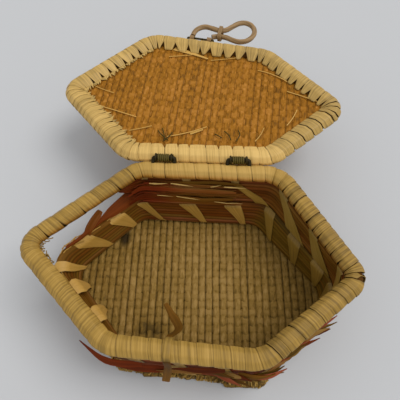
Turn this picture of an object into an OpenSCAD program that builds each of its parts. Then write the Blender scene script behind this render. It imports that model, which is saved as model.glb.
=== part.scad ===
// Six-sided straw basket: a straw floor, two stacked leaf coils, wrapped rims and a hinged lid.
// Millimetres. The hinge line runs along X, the front faces -Y and the table is at Z = 0.
// The lid is drawn laid open behind the basket. One side wall has lost its upper coil.

/* [Floor] */
// Floor mat from corner to corner along the hinge line
floor_w = 208; // [200:1:214]
// Floor mat from its front edge to its back edge
floor_d = 121; // [114:1:124]
// Length of the floor's front and back edges
floor_side = 96; // [90:1:102]
// How far the floor stands forward of the rim, because the wall leans back
floor_forward = 8; // [4:1:9]
// Width of one flattened straw
straw_w = 5; // [4.4:0.1:6]
// Thickness of one flattened straw
straw_t = 3.6; // [3:0.1:4]

/* [Wall coils] */
// Thickness of a coil with its strip
coil_t = 8; // [7.5:0.5:9]
// Height of a coil with its strip
coil_h = 22.2; // [18:0.1:24]
// Width of the pale strip wound round a coil
strip_w = 8; // [6:0.5:9]
// Thickness of the pale strip
strip_t = 0.7; // [0.5:0.1:0.9]
// Turns of the pale strip round the lower coil
lower_turns = 19; // [14:1:20]
// Turns of the pale strip round the torn upper coil
upper_turns = 15; // [12:1:16]

/* [Rims] */
// Rim from corner to corner along the hinge line, on its middle line
rim_w = 212; // [206:1:218]
// Rim from front to back, on its middle line
rim_d = 120; // [116:1:124]
// Length of the rim's front and back sides
rim_side = 96; // [91:1:101]
// Width of a wrapped rim, seen from above
tube_w = 12.5; // [12:0.5:13.5]
// Height of a wrapped rim
tube_t = 9.5; // [9:0.5:10.5]
// Thickness of a leaf wrap at its ridge
wrap_t = 0.9; // [0.6:0.1:1.1]
// Least spacing of the leaf wraps on a straight side
wrap_pitch = 10; // [9:0.5:14]

/* [Lid] */
// Lid from corner to corner along the hinge line, on its rim's middle line
lid_w = 208; // [202:1:212]
// Lid from its hinge side to its front, on its rim's middle line
lid_d = 108; // [102:1:112]
// How far the lid's straw mat lies below the rim's outer face
mat_inset = 1.5; // [0.5:0.1:2]
// How far the lid is laid back from shut
open_angle = 180; // [120:1:180]

/* [Hinges] */
// Place of the left hinge along the hinge line
hinge_left_x = -24; // [-28:1:-20]
// Place of the right hinge along the hinge line
hinge_right_x = 28; // [24:1:32]
// Thickness of the cord that the lid turns on
pin_d = 3.2; // [2.6:0.1:3.2]
// Thickness of the thread wound round that cord
thread_d = 0.9; // [0.7:0.05:0.9]
// Turns of that thread
thread_turns = 6; // [4:1:6]

/* [Closing loop and torn strips] */
// Thickness of the twisted straw loop
loop_d = 4.2; // [3.6:0.1:4.2]
// Place of the loop along the lid's front side
loop_x = -8.5; // [-13:0.5:-4]
// Thickness of the thread staple that the loop hangs on
staple_d = 1.8; // [1.4:0.1:2]
// Width of the loose leaf tie over the front rim
tie_w = 5.5; // [4:0.5:7]
// Place of that tie along the front rim
tie_x = -8.5; // [-14:0.5:-4]

/* [Hidden] */
$fn = 18;

straw_colour = [0.62, 0.52, 0.29];
lid_straw_colour = [0.70, 0.48, 0.22];
leaf_colour = [0.83, 0.68, 0.38];
pale_leaf_colour = [0.84, 0.70, 0.36];
red_leaf_colour = [0.42, 0.15, 0.08];
thread_colour = [0.25, 0.24, 0.10];
rope_colour = [0.62, 0.43, 0.20];

// Clearances
seat_gap = 0.3;
straw_gap = 0.1;
core_gap = 0.4;
strip_gap = 0.98;
turn_gap = 0.6;
bend_turn_gap = 1.0;
rims_apart = 0.6;
lid_gap = 2.2;
pin_gap = 0.1;
hole_gap = 0.2;
thread_gap = 0.45;
end_gap = 0.3;

// Where the corners of the handmade outlines stray from an even six-sided shape.
// Corners run clockwise from above: back left, back right, right, front right, front left, left.
floor_stray = [[-3, 0], [0, -1], [2, -1], [0, -3], [2, 2], [1, 4]];
rim_stray = [[5.5, 0], [8.5, 0], [-2.3, -12], [-2.6, -2.6], [3, 0.6], [-3.4, -0.7]];
lid_stray = [[-4, 0], [3, 0], [-2.6, 8], [0, 7.8], [0, -7.8], [-3.8, -4.2]];
// How far the straws of each mat are turned from straight front to back
floor_straw_turn = 3;
lid_straw_turn = 4;

// Shape of the wall and rims
fringe = 1.5;
rim_bend = 10;
coil_bend = 16;
rim_chamfer = 3.6;
coil_chamfer = 2.5;
// Share of the way from the floor to the rim at which the wall leans where its two coils meet
wall_middle = 0.5;
least_straw = 8;
steps_a_turn = 8;
bend_wrap_pitch = 4.3;
// Share of a turn's advance that a coil's strip has made at each point round its section
strip_share = [0, 0.05, 0.08, 0.29, 0.5, 0.53, 0.58, 0.61, 0.79, 0.97];
torn_from = -34;
torn_to = 18;

// Heights
lower_z = straw_t + seat_gap + coil_h / 2;
upper_z = lower_z + coil_h + seat_gap;
rim_z = upper_z + coil_h / 2 + seat_gap + tube_t / 2;
hinge_z = rim_z + tube_t / 2 + lid_gap / 2;
lid_z = hinge_z + lid_gap / 2 + tube_t / 2;
mat_z = lid_z + tube_t / 2 - mat_inset - straw_t / 2;
hinge_y = rim_d / 2 + tube_w / 2 + rims_apart / 2;

// Hinge lengths along the hinge line, from its middle, and the lean of the thread legs from straight up
thread_pitch = thread_d + thread_gap;
thread_half = thread_pitch * thread_turns / 2;
eye_w = 1.4;
eye_leg_d = 1;
eye_x = thread_half + thread_d / 2 + end_gap + eye_w / 2;
eye_r = pin_d / 2 + 1.5;
leg_d = 1.8;
leg_x = eye_x + eye_w / 2 + end_gap + leg_d / 2;
leg_reach = 8;
base_leg_lean = 135;
lid_leg_lean = 45;
cord_end = 0.4;

// Closing loop, in its own frame: along the lid's front, out from the rim, and up
staple_out = 2.8;
staple_half = 10.9;
staple_leg_d = staple_d - 0.2;
staple_reach = 7.5;
loop_eye_w = 4.6;
loop_eye_r = 2.3;
loop_eye_x = 7.4;
loop_sides = 8;
loop_steps = 3;
loop_route = [
    [-7.4, 5.5, 0], [-6.9, 9.6, 0.3], [-5.1, 13.2, 0.6], [-1.6, 16.2, 0.8], [2.6, 17.2, 0.8],
    [8, 16.3, 0.6], [12.7, 15.4, 0.4], [16.4, 15.8, 0.3], [19.8, 17.6, 0.4], [23.4, 21.5, 0.7],
    [28.6, 26.3, 1], [34.2, 27.6, 1], [39.4, 25.5, 0.9], [42.7, 20.4, 0.6], [42.6, 14.2, 0.1],
    [38.6, 8.6, -0.4], [32.4, 6.4, -0.8], [26.2, 7.4, -0.9], [21.1, 9.2, -0.8], [16.4, 9.6, -0.7],
    [12.4, 8.8, -0.5], [8.8, 6.9, -0.2]
];
// The band that pinches the loop's two sides together: its place, the room inside it and its wall
band_at = [15, 12.45, -0.15];
band_core = [7, 0.6];
band_room = 2.65;
band_wall = 1;
band_length = 4.4;
band_steps = 16;

// Loose tie over the front rim: out from the rim's middle line, up from it, and to the right
tie_t = 0.8;
tie_lift = 0.2;
tie_tail_out = [[7.8, -8, 0], [10, -16, -1], [13.6, -25, -2.4]];
tie_tail_in = [
    [-8.8, -2, 0.3], [-12, -9, 2.2], [-16, -14, 3.6], [-21, -18, 1], [-25, -20.5, -2], [-33, -24, -7.5]
];

// Torn red strip: along the upper coil from its torn end, and height over the lower coil
torn_t = 1.2;
torn_w = 6;
torn_route = [[seat_gap, 12], [8, 10.5], [16, 7], [24, 4.6], [31, 4], [37, 6]];

// An even six-sided outline with its handmade strays
function outline(w, d, side, y, stray) = [
    [-side / 2, y + d / 2] + stray[0],
    [side / 2, y + d / 2] + stray[1],
    [w / 2, y] + stray[2],
    [side / 2, y - d / 2] + stray[3],
    [-side / 2, y - d / 2] + stray[4],
    [-w / 2, y] + stray[5]
];

function unit(v) = v / norm(v);
function outward(u) = [-u[1], u[0]];
function turned(v, a) = [v[0] * cos(a) + v[1] * sin(a), v[1] * cos(a) - v[0] * sin(a)];
function mixed(a, b, share) = [for (i = [0:5]) a[i] * (1 - share) + b[i] * share];

// Sides and bends of an outline p whose corners are rounded to radius r
function side_way(p, i) = unit(p[(i + 1) % 6] - p[i % 6]);
function corner_turn(p, i) = acos(side_way(p, i + 5) * side_way(p, i));
function corner_cut(p, r, i) = r * tan(corner_turn(p, i % 6) / 2);
function side_run(p, r, i) = norm(p[(i + 1) % 6] - p[i]) - corner_cut(p, r, i) - corner_cut(p, r, i + 1);
function bend_run(p, r, i) = r * corner_turn(p, i % 6) * PI / 180;
function piece_run(p, r, k) = k % 2 == 0 ? side_run(p, r, k / 2) : bend_run(p, r, (k + 1) / 2);
function marks(p, r, k = 0, s = 0) =
    k == 12 ? [s] : concat([s], marks(p, r, k + 1, s + piece_run(p, r, k)));

// An outline moved inward by d
function inset(p, d) = [
    for (i = [0:5])
        let (a = outward(side_way(p, i + 5)), b = outward(side_way(p, i)))
        p[i] - (a + b) * d / (1 + a * b)
];

// A way round: its corners, its bend radius and the distances at which sides and bends start.
// Even pieces are sides, the first of them at the back, and odd pieces are bends.
function way_round(p, r) = [p, r, marks(p, r)];
function way_length(way) = way[2][12];

// The point at distance s along a way and distance n out from it
function spot(way, s, n) =
    let (p = way[0], r = way[1], m = way[2])
    let (t = s - m[12] * floor(s / m[12]))
    let (k = max([for (j = [0:11]) if (t >= m[j]) j]))
    let (i = floor(k / 2), u = side_way(p, i), d = t - m[k])
    k % 2 == 0
        ? p[i] + u * (corner_cut(p, r, i) + d) + outward(u) * n
        : p[(i + 1) % 6] - u * corner_cut(p, r, i + 1) - outward(u) * r
            + turned(outward(u), d / r * 180 / PI) * (r + n);

function raised(way, s, z, q) = let (xy = spot(way, s, q[0])) [xy[0], xy[1], z + q[1]];

// A wall leans from the way at its foot to the way at its top. Distances are measured along the first.
function matched(wall, s) =
    let (laps = floor(s / way_length(wall[0])), from = wall[0][2], to = wall[1][2])
    lookup(s - laps * way_length(wall[0]), [for (k = [0:12]) [from[k], to[k]]]) + laps * way_length(wall[1]);
function leaned(wall, s, z, q) =
    let (share = q[1] / coil_h + 0.5)
    raised(wall[0], s, z, q) * (1 - share) + raised(wall[1], matched(wall, s), z, q) * share;

// Distances at which a core needs a ring: the start of each side and steps round each bend
function bend_steps(way, k) = way[2][k + 1] - way[2][k] > way[1] ? 6 : 3;
function stops(way) = [
    for (k = [0:11])
        each k % 2 == 0
            ? [way[2][k]]
            : [for (j = [0:bend_steps(way, k) - 1])
                way[2][k] + (way[2][k + 1] - way[2][k]) * j / bend_steps(way, k)]
];
function stops_between(way, a, b) = concat(
    [a],
    [for (lap = [-1, 0]) for (s = stops(way)) let (t = s + lap * way_length(way)) if (t > a && t < b) t],
    [b]
);

// An eight-cornered section, wound from the top of the outer side inward and down the inside
function section(w, t, c) = [
    [w / 2 - c, t / 2], [-w / 2 + c, t / 2], [-w / 2, t / 2 - c], [-w / 2, -t / 2 + c],
    [-w / 2 + c, -t / 2], [w / 2 - c, -t / 2], [w / 2, -t / 2 + c], [w / 2, t / 2 - c]
];
function shrunk(w, t, c, d) = section(w - 2 * d, t - 2 * d, c - d * (2 - sqrt(2)));
// The same section with a point more in the middle of its inner and outer sides
function halved(q) = [
    q[0], q[1], q[2], (q[2] + q[3]) / 2, q[3], q[4], q[5], q[6], (q[6] + q[7]) / 2, q[7]
];

// A skin of triangles over rings of points
function skin(n, m, closed) = [
    for (j = [0:n - (closed ? 1 : 2)])
        for (i = [0:m - 1])
            let (a = j * m + i, b = j * m + (i + 1) % m, up = ((j + 1) % n - j) * m)
            each [[a, b + up, b], [a, a + up, b + up]]
];
function caps(n, m) = [
    for (i = [1:m - 2])
        each [[0, i, i + 1], [(n - 1) * m, (n - 1) * m + i + 1, (n - 1) * m + i]]
];

module tube(rings, closed = false) {
    n = len(rings);
    m = len(rings[0]);
    points = [for (ring = rings) each ring];
    faces = concat(skin(n, m, closed), closed ? [] : caps(n, m));
    polyhedron(points, faces);
}

module core(wall, z, distances, profile, closed) {
    tube([for (s = distances) [for (q = profile) leaned(wall, s, z, q)]], closed);
}

// Rings of a ridged leaf wrap, wound from distance a to distance b
function wrap_rings(way, z, a, b, turns, gap) =
    let (pitch = (b - a) / (turns + 1), half = (pitch - gap) / 2)
    let (under = shrunk(tube_w, tube_t, rim_chamfer, wrap_t))
    let (over = section(tube_w, tube_t, rim_chamfer))
    [
        for (j = [0:turns * steps_a_turn])
            let (s = a + pitch / 2 + pitch * j / steps_a_turn, k = j % steps_a_turn)
            [
                raised(way, s - half, z, under[k]),
                raised(way, s, z, over[k]),
                raised(way, s + half, z, under[k])
            ]
    ];

// Rings of a flat strip, wound on a slant round a coil from distance a to distance b
function strip_rings(wall, z, a, b, turns) =
    let (pitch = (b - a) / (turns + 1), half = strip_w / 2, steps = len(strip_share))
    let (under = halved(shrunk(coil_t, coil_h, coil_chamfer, strip_t)))
    let (over = halved(section(coil_t, coil_h, coil_chamfer)))
    [
        for (j = [0:turns * steps])
            let (k = j % steps, s = a + pitch * (0.5 + floor(j / steps) + strip_share[k]))
            [
                leaned(wall, s - half, z, under[k]), leaned(wall, s - half, z, over[k]),
                leaned(wall, s + half, z, over[k]), leaned(wall, s + half, z, under[k])
            ]
    ];

// Least distance between points of one turn and points of the next
function least_gap(rings, steps) = min([
    for (j = [0:len(rings) - 1 - steps])
        for (a = rings[j])
            for (b = rings[j + steps])
                norm(a - b)
]);

module winding(name, rings, steps = steps_a_turn) {
    echo(str("least gap of ", name, ": ", least_gap(rings, steps), " mm"));
    tube(rings);
}

floor_outline = outline(floor_w, floor_d, floor_side, -floor_forward, floor_stray);
rim_outline = outline(rim_w, rim_d, rim_side, 0, rim_stray);
lid_outline = outline(lid_w, lid_d, rim_side, (rim_d - lid_d) / 2, lid_stray);
lower_outline = inset(floor_outline, fringe + coil_t / 2);
lower_way = way_round(lower_outline, coil_bend);
upper_way = way_round(mixed(lower_outline, rim_outline, wall_middle), coil_bend);
lower_wall = [lower_way, upper_way];
upper_wall = [upper_way, way_round(rim_outline, coil_bend)];
rim_way = way_round(rim_outline, rim_bend);
lid_way = way_round(lid_outline, rim_bend);
mat_outline = inset(lid_outline, tube_w / 2 + end_gap);

rim_core = shrunk(tube_w, tube_t, rim_chamfer, wrap_t + core_gap);
coil_core = shrunk(coil_t, coil_h, coil_chamfer, strip_t + strip_gap);

// The upper coil is torn away along the back left side
upper_from = torn_from;
upper_to = upper_way[2][10] - torn_to;

// Where a line at x crosses an outline: on its back half and on its front half
function back_at(p, x) = min([
    for (e = [[5, 0], [0, 1], [1, 2]])
        let (a = p[e[0]], b = p[e[1]])
        if (x >= a[0] && x <= b[0]) a[1] + (b[1] - a[1]) * (x - a[0]) / (b[0] - a[0])
]);
function front_at(p, x) = max([
    for (e = [[5, 4], [4, 3], [3, 2]])
        let (a = p[e[0]], b = p[e[1]])
        if (x >= a[0] && x <= b[0]) a[1] + (b[1] - a[1]) * (x - a[0]) / (b[0] - a[0])
]);

// One flattened straw from y = a to y = b
module straw(a, b) {
    translate([0, b, 0])
        rotate([90, 0, 0])
            linear_extrude(height = b - a)
                intersection() {
                    circle(d = straw_w, $fn = 16);
                    square([straw_w, straw_t], center = true);
                }
}

// Straws side by side inside an outline, turned a little, each end longer by extra
module straw_mat(outline, turn, extra) {
    p = [for (corner = outline) turned(corner, turn)];
    pitch = straw_w + straw_gap;
    for (i = [ceil(p[5][0] / pitch):floor(p[2][0] / pitch)]) {
        back = back_at(p, i * pitch);
        front = front_at(p, i * pitch);
        if (back - front > least_straw) {
            rotate([0, 0, turn]) translate([i * pitch, 0, 0]) straw(front - extra, back + extra);
        }
    }
}

// Moves a shut lid back to where it lies open
module laid_open() {
    translate([0, hinge_y, hinge_z])
        rotate([-open_angle, 0, 0])
            translate([0, -hinge_y, -hinge_z])
                children();
}

module along_x(d, length) {
    rotate([0, 90, 0]) cylinder(d = d, h = length, center = true);
}

// Thread legs from the hinge line into a rim, at the angle that lean gives from straight up
module hinge_legs(x, offset_x, d, reach, lean) {
    for (end = [-1, 1]) {
        translate([x + end * offset_x, hinge_y, hinge_z]) rotate([lean, 0, 0]) cylinder(d = d, h = reach);
    }
}

module base_leg_holes() {
    for (x = [hinge_left_x, hinge_right_x]) {
        hinge_legs(x, leg_x, leg_d + 2 * hole_gap, leg_reach + hole_gap, base_leg_lean);
    }
}

module lid_leg_holes() {
    for (x = [hinge_left_x, hinge_right_x]) {
        hinge_legs(x, eye_x, eye_leg_d + 2 * hole_gap, leg_reach + hole_gap, lid_leg_lean);
    }
}

module hinge_cord(x) {
    color(thread_colour) {
        translate([x, hinge_y, hinge_z]) along_x(pin_d, 2 * leg_x + leg_d + 2 * cord_end);
        hinge_legs(x, leg_x, leg_d, leg_reach, base_leg_lean);
    }
}

module hinge_eyes(x) {
    color(thread_colour)
        laid_open()
            difference() {
                union() {
                    for (end = [-1, 1]) {
                        translate([x + end * eye_x, hinge_y, hinge_z]) along_x(2 * eye_r, eye_w);
                    }
                    hinge_legs(x, eye_x, eye_leg_d, leg_reach, lid_leg_lean);
                }
                translate([x, hinge_y, hinge_z]) along_x(pin_d + 2 * pin_gap, 2 * leg_x);
            }
}

// Thread wound round the hinge cord between its two eyes
module hinge_thread(name, x) {
    sides = 6;
    radius = (pin_d / 2 + pin_gap + thread_d / 2) / cos(180 / steps_a_turn);
    rings = [
        for (j = [0:thread_turns * steps_a_turn])
            let (a = 360 * j / steps_a_turn, s = thread_pitch * j / steps_a_turn - thread_half)
            [for (i = [0:sides - 1])
                let (b = -360 * i / sides, r = radius + thread_d / 2 * cos(b))
                [x + s + thread_d / 2 * sin(b), hinge_y + r * cos(a), hinge_z + r * sin(a)]]
    ];
    color(thread_colour) winding(name, rings);
}

// Leaf wraps on one straight side, the number of turns worked out from its length
module side_wrap(name, way, z, side) {
    from = way[2][2 * side];
    to = way[2][2 * side + 1];
    winding(name, wrap_rings(way, z, from, to, floor((to - from) / wrap_pitch) - 1, turn_gap));
}

// Narrow leaf wraps round the six bends
module bend_wraps(name, way, z) {
    for (k = [1:2:11]) {
        from = way[2][k];
        to = way[2][k + 1];
        turns = max(1, floor((to - from) / bend_wrap_pitch) - 1);
        winding(str(name, " ", k), wrap_rings(way, z, from, to, turns, bend_turn_gap));
    }
}

module floor_straws() {
    color(straw_colour) translate([0, 0, straw_t / 2]) straw_mat(floor_outline, floor_straw_turn, 0);
}

module lower_coil_core() {
    color(red_leaf_colour) core(lower_wall, lower_z, stops(lower_way), coil_core, true);
}

module lower_coil_strip() {
    color(pale_leaf_colour)
        winding(
            "lower strip",
            strip_rings(lower_wall, lower_z, 0, way_length(lower_way), lower_turns),
            len(strip_share)
        );
}

module upper_coil_core() {
    color(red_leaf_colour)
        core(upper_wall, upper_z, stops_between(upper_way, upper_from, upper_to), coil_core, false);
}

module upper_coil_strip() {
    color(pale_leaf_colour)
        winding(
            "upper strip",
            strip_rings(upper_wall, upper_z, upper_from, upper_to, upper_turns),
            len(strip_share)
        );
}

// A strip pulled out of the torn coil's end, lying on the lower coil
module torn_strip() {
    rings = [
        for (q = torn_route)
            let (z = q[1] - coil_h / 2)
            [for (c = [[-1, -1], [1, -1], [1, 1], [-1, 1]])
                leaned(upper_wall, upper_from - q[0], upper_z, [c[0] * torn_t / 2, z + c[1] * torn_w / 2])]
    ];
    color(red_leaf_colour) tube(rings);
}

module base_rim_core() {
    color(leaf_colour)
        difference() {
            core([rim_way, rim_way], rim_z, stops(rim_way), rim_core, true);
            base_leg_holes();
        }
}

module base_wrap(name, side) {
    color(leaf_colour) side_wrap(name, rim_way, rim_z, side);
}

module base_wrap_back() {
    difference() {
        base_wrap("base wrap back", 0);
        base_leg_holes();
    }
}

module base_wrap_corners() {
    color(leaf_colour) bend_wraps("base wrap bend", rim_way, rim_z);
}

// A leaf tie laid over the front rim, loose at both ends
module front_tie() {
    over = section(tube_w + 2 * tie_lift + tie_t, tube_t + 2 * tie_lift + tie_t, rim_chamfer);
    route = concat(
        [for (i = [len(tie_tail_in) - 1:-1:0]) tie_tail_in[i]],
        [for (i = [2, 1, 0, 7]) [over[i][0], over[i][1], 0]],
        tie_tail_out
    );
    last = len(route) - 1;
    middle = front_at(rim_outline, tie_x);
    rings = [
        for (i = [0:last])
            let (step = route[min(i + 1, last)] - route[max(i - 1, 0)], along = unit([step[0], step[1]]))
            let (here = [route[i][0], route[i][1]], side = outward(along) * tie_t / 2)
            let (a = here + side, b = here - side)
            let (left = tie_x + route[i][2] - tie_w / 2, right = left + tie_w)
            [
                [left, middle - a[0], rim_z + a[1]], [left, middle - b[0], rim_z + b[1]],
                [right, middle - b[0], rim_z + b[1]], [right, middle - a[0], rim_z + a[1]]
            ]
    ];
    color(leaf_colour) tube(rings);
}

module lid_straws() {
    color(lid_straw_colour)
        laid_open()
            translate([0, 0, mat_z])
                intersection() {
                    straw_mat(mat_outline, lid_straw_turn, straw_w);
                    linear_extrude(height = 2 * straw_t, center = true) polygon(mat_outline);
                }
}

module lid_rim_core() {
    color(leaf_colour)
        laid_open()
            difference() {
                core([lid_way, lid_way], lid_z, stops(lid_way), rim_core, true);
                lid_leg_holes();
                staple_holes();
            }
}

module lid_wrap(name, side) {
    color(leaf_colour) laid_open() side_wrap(name, lid_way, lid_z, side);
}

module lid_wrap_back() {
    color(leaf_colour)
        laid_open()
            difference() {
                side_wrap("lid wrap back", lid_way, lid_z, 0);
                lid_leg_holes();
            }
}

module lid_wrap_front() {
    color(leaf_colour)
        laid_open()
            difference() {
                side_wrap("lid wrap front", lid_way, lid_z, 3);
                staple_holes();
            }
}

module lid_wrap_corners() {
    color(leaf_colour) laid_open() bend_wraps("lid wrap bend", lid_way, lid_z);
}

// Puts pieces in the loop's frame on the front side of a shut lid
module at_loop() {
    way = side_way(lid_outline, 3);
    translate([loop_x, front_at(lid_outline, loop_x), lid_z])
        rotate([0, 0, atan2(-way[1], -way[0])])
            rotate([180, 0, 0])
                translate([0, tube_w / 2, 0])
                    children();
}

module staple_legs(d, reach) {
    for (end = [-1, 1]) {
        translate([end * staple_half, staple_out, 0]) rotate([90, 0, 0]) cylinder(d = d, h = reach);
    }
}

module staple_holes() {
    at_loop() staple_legs(staple_leg_d + 2 * hole_gap, staple_reach + hole_gap);
}

module loop_staple() {
    color(thread_colour)
        laid_open()
            at_loop() {
                translate([0, staple_out, 0])
                    along_x(staple_d, 2 * staple_half + staple_leg_d + 2 * cord_end);
                staple_legs(staple_leg_d, staple_reach);
            }
}

module loop_eye() {
    color(rope_colour)
        laid_open()
            at_loop()
                for (end = [-1, 1]) {
                    translate([end * loop_eye_x, staple_out, 0])
                        difference() {
                            along_x(2 * loop_eye_r, loop_eye_w);
                            along_x(staple_d + 2 * pin_gap, loop_eye_w + 1);
                        }
                }
}

// A wrapped band round both sides of the loop, which pinches it in two
module loop_band() {
    rings = [
        for (i = [0:band_steps - 1])
            let (a = 360 * (i + 0.5) / band_steps)
            let (middle = [sign(cos(a)) * band_core[0] / 2, sign(sin(a)) * band_core[1] / 2])
            [for (q = [[-1, 0], [1, 0], [1, 1], [-1, 1]])
                let (at = middle + [cos(a), sin(a)] * (band_room + q[1] * band_wall))
                band_at + [q[0] * band_length / 2, at[0], at[1]]]
    ];
    color(rope_colour) laid_open() at_loop() tube(rings, true);
}

// A smooth curve through four neighbouring points
function curve(a, b, c, d, t) =
    0.5 * (2 * b + (c - a) * t + (2 * a - 5 * b + 4 * c - d) * t * t + (3 * b - a - 3 * c + d) * t * t * t);
function smooth(p) =
    let (last = len(p) - 1)
    concat(
        [for (i = [0:last - 1]) for (j = [0:loop_steps - 1])
            curve(p[max(i - 1, 0)], p[i], p[i + 1], p[min(i + 2, last)], j / loop_steps)],
        [p[last]]
    );

// The twisted straw loop: two lobes beside each other, each end at an eye
module closure_loop() {
    line = smooth(loop_route);
    last = len(line) - 1;
    apart = ceil(2.5 * loop_steps);
    rings = [
        for (i = [0:last])
            let (along = unit(line[min(i + 1, last)] - line[max(i - 1, 0)]))
            let (side = unit(cross(along, [0, 0, 1])), up = cross(side, along))
            [for (j = [0:loop_sides - 1])
                let (a = 360 * j / loop_sides)
                line[i] + (side * cos(a) + up * sin(a)) * loop_d / 2]
    ];
    gap = min([for (i = [0:last - apart]) for (j = [i + apart:last]) norm(line[i] - line[j])]) - loop_d;
    echo(str("least gap of closing loop: ", gap, " mm"));
    color(rope_colour) laid_open() at_loop() tube(rings);
}

floor_straws();
lower_coil_core();
lower_coil_strip();
upper_coil_core();
upper_coil_strip();
torn_strip();
base_rim_core();
base_wrap_back();
base_wrap("base wrap back right", 1);  // base_wrap_back_right
base_wrap("base wrap front right", 2);  // base_wrap_front_right
base_wrap("base wrap front", 3);  // base_wrap_front
base_wrap("base wrap front left", 4);  // base_wrap_front_left
base_wrap("base wrap back left", 5);  // base_wrap_back_left
base_wrap_corners();
front_tie();
hinge_cord(hinge_left_x);  // hinge_cord_left
hinge_cord(hinge_right_x);  // hinge_cord_right
hinge_thread("left hinge thread", hinge_left_x);  // hinge_thread_left
hinge_thread("right hinge thread", hinge_right_x);  // hinge_thread_right
lid_straws();
lid_rim_core();
lid_wrap_back();
lid_wrap("lid wrap back right", 1);  // lid_wrap_back_right
lid_wrap("lid wrap front right", 2);  // lid_wrap_front_right
lid_wrap_front();
lid_wrap("lid wrap front left", 4);  // lid_wrap_front_left
lid_wrap("lid wrap back left", 5);  // lid_wrap_back_left
lid_wrap_corners();
hinge_eyes(hinge_left_x);  // hinge_eyes_left
hinge_eyes(hinge_right_x);  // hinge_eyes_right
loop_staple();
loop_eye();
closure_loop();
loop_band();
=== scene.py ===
"""Looks of a six-sided straw basket with its lid laid open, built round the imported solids.

Metres. The hinge line runs along X, the front faces -Y and the table is at Z = 0.
"""

import math

import bpy
import numpy as np
from bpy.props import FloatProperty, FloatVectorProperty, PointerProperty
from mathutils import Matrix, Vector


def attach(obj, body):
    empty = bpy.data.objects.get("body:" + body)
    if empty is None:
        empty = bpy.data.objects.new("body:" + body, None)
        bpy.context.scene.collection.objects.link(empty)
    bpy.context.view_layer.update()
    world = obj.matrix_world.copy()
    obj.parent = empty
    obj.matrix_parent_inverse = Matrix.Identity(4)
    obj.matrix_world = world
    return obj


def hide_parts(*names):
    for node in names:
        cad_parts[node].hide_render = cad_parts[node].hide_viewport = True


bl_info = {
    "name": "Straw basket",
    "version": (1, 0, 0),
    "blender": (4, 5, 0),
    "location": "3D View > Sidebar > Basket",
    "description": "Builds the looks of a lidded straw basket round its packed solids",
    "category": "Object",
}

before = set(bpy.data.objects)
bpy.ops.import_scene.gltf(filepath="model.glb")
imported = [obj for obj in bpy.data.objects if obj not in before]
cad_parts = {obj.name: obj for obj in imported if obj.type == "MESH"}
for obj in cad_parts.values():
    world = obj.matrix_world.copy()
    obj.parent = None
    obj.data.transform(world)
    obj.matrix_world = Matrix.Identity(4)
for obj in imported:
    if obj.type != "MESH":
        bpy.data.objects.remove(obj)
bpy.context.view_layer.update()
MM = 0.001

# Millimetres by which the handmade corners stray from an even six-sided outline, clockwise from above:
# back left, back right, right, front right, front left, left
FLOOR_STRAYS = ((-3, 0), (0, -1), (2, -1), (0, -3), (2, 2), (1, 4))
RIM_STRAYS = ((5.5, 0), (8.5, 0), (-2.3, -12), (-2.6, -2.6), (3, 0.6), (-3.4, -0.7))
LID_STRAYS = ((-4, 0), (3, 0), (-2.6, 8), (0, 7.8), (0, -7.8), (-3.8, -4.2))
SIDES = ("back", "back_right", "front_right", "front", "front_left", "back_left")
# Millimetres by which the foot of each side of the wall has slipped outward, or inward below zero
WALL_FOOT = (0, -1.5, -1, 0, -3.5, -2.7)
# Degrees by which the straws of each mat are turned from straight front to back, on the shut basket
FLOOR_TURN = 3
LID_TURN = 4

# Route of the closing loop in millimetres: along the lid's front side, out from its rim, and up
LOOP_ROUTE = (
    (-7.4, 5.5, 0), (-6.9, 9.6, 0.3), (-5.1, 13.2, 0.6), (-1.6, 16.2, 0.8), (2.6, 17.2, 0.8), (8, 16.3, 0.6),
    (12.7, 15.4, 0.4), (16.4, 15.8, 0.3), (19.8, 17.6, 0.4), (23.4, 21.5, 0.7), (28.6, 26.3, 1),
    (34.2, 27.6, 1), (39.4, 25.5, 0.9), (42.7, 20.4, 0.6), (42.6, 14.2, 0.1), (38.6, 8.6, -0.4),
    (32.4, 6.4, -0.8), (26.2, 7.4, -0.9), (21.1, 9.2, -0.8), (16.4, 9.6, -0.7), (12.4, 8.8, -0.5),
    (8.8, 6.9, -0.2),
)
# The band that pinches the loop: its middle, its half core across and up, and the radius of its turns
BAND = (15, 12.45, -0.15, 3.5, 0.3, 3.1)
# The loop's eyes: how far they stand to each side and out from the rim, then the turns of each, with their
# number, width, radius and half thickness
EYE_PLACE, EYE_OUT = 7.4, 2.8
LOOP_EYE = (4, 3.4, 1.7, 0.58)
# The left half of the staple that they turn on, in the same measures as the route
STAPLE_HALF = ((-10.9, -4.7, 0), (-10.9, 0, 0), (-10.9, 2, 0), (-10.1, 2.8, 0), (-5, 2.8, 0))

# The left half of a hinge's cord, in millimetres from the middle of the hinge: across, back and up
HINGE_HALF = ((-7.4, -5.6, -5.6), (-7.4, -1.6, -1.6), (-6.2, 0, 0))
# Half its thickness
CORD_HALF = 1.5
# The thread wound round it and the eyes of the lid: number of turns, width, radius and half thickness
HINGE_THREAD, HINGE_EYE = (6, 8.1, 2.25, 0.62), (2, 0.8, 2.55, 0.5)
# Where the two eyes stand on it, and the leg of an eye, back and up
HINGE_EYES = (-5.5, 5.5)
HINGE_LEG = ((1.8, -1.8), (3.4, -3.4), (5.6, -5.6))

# Loose leaf tie over the front rim in millimetres: out from the rim's middle line, up, and to the right
TIE_INSIDE = (
    (-33, -24, -7.5), (-25, -20.5, -2), (-21, -18, 1), (-16, -14, 3.6), (-12, -9, 2.2), (-8.8, -2, 0.3),
)
TIE_OUTSIDE = ((7.8, -8, 0), (10, -16, -1), (13.6, -25, -2.4))

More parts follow.
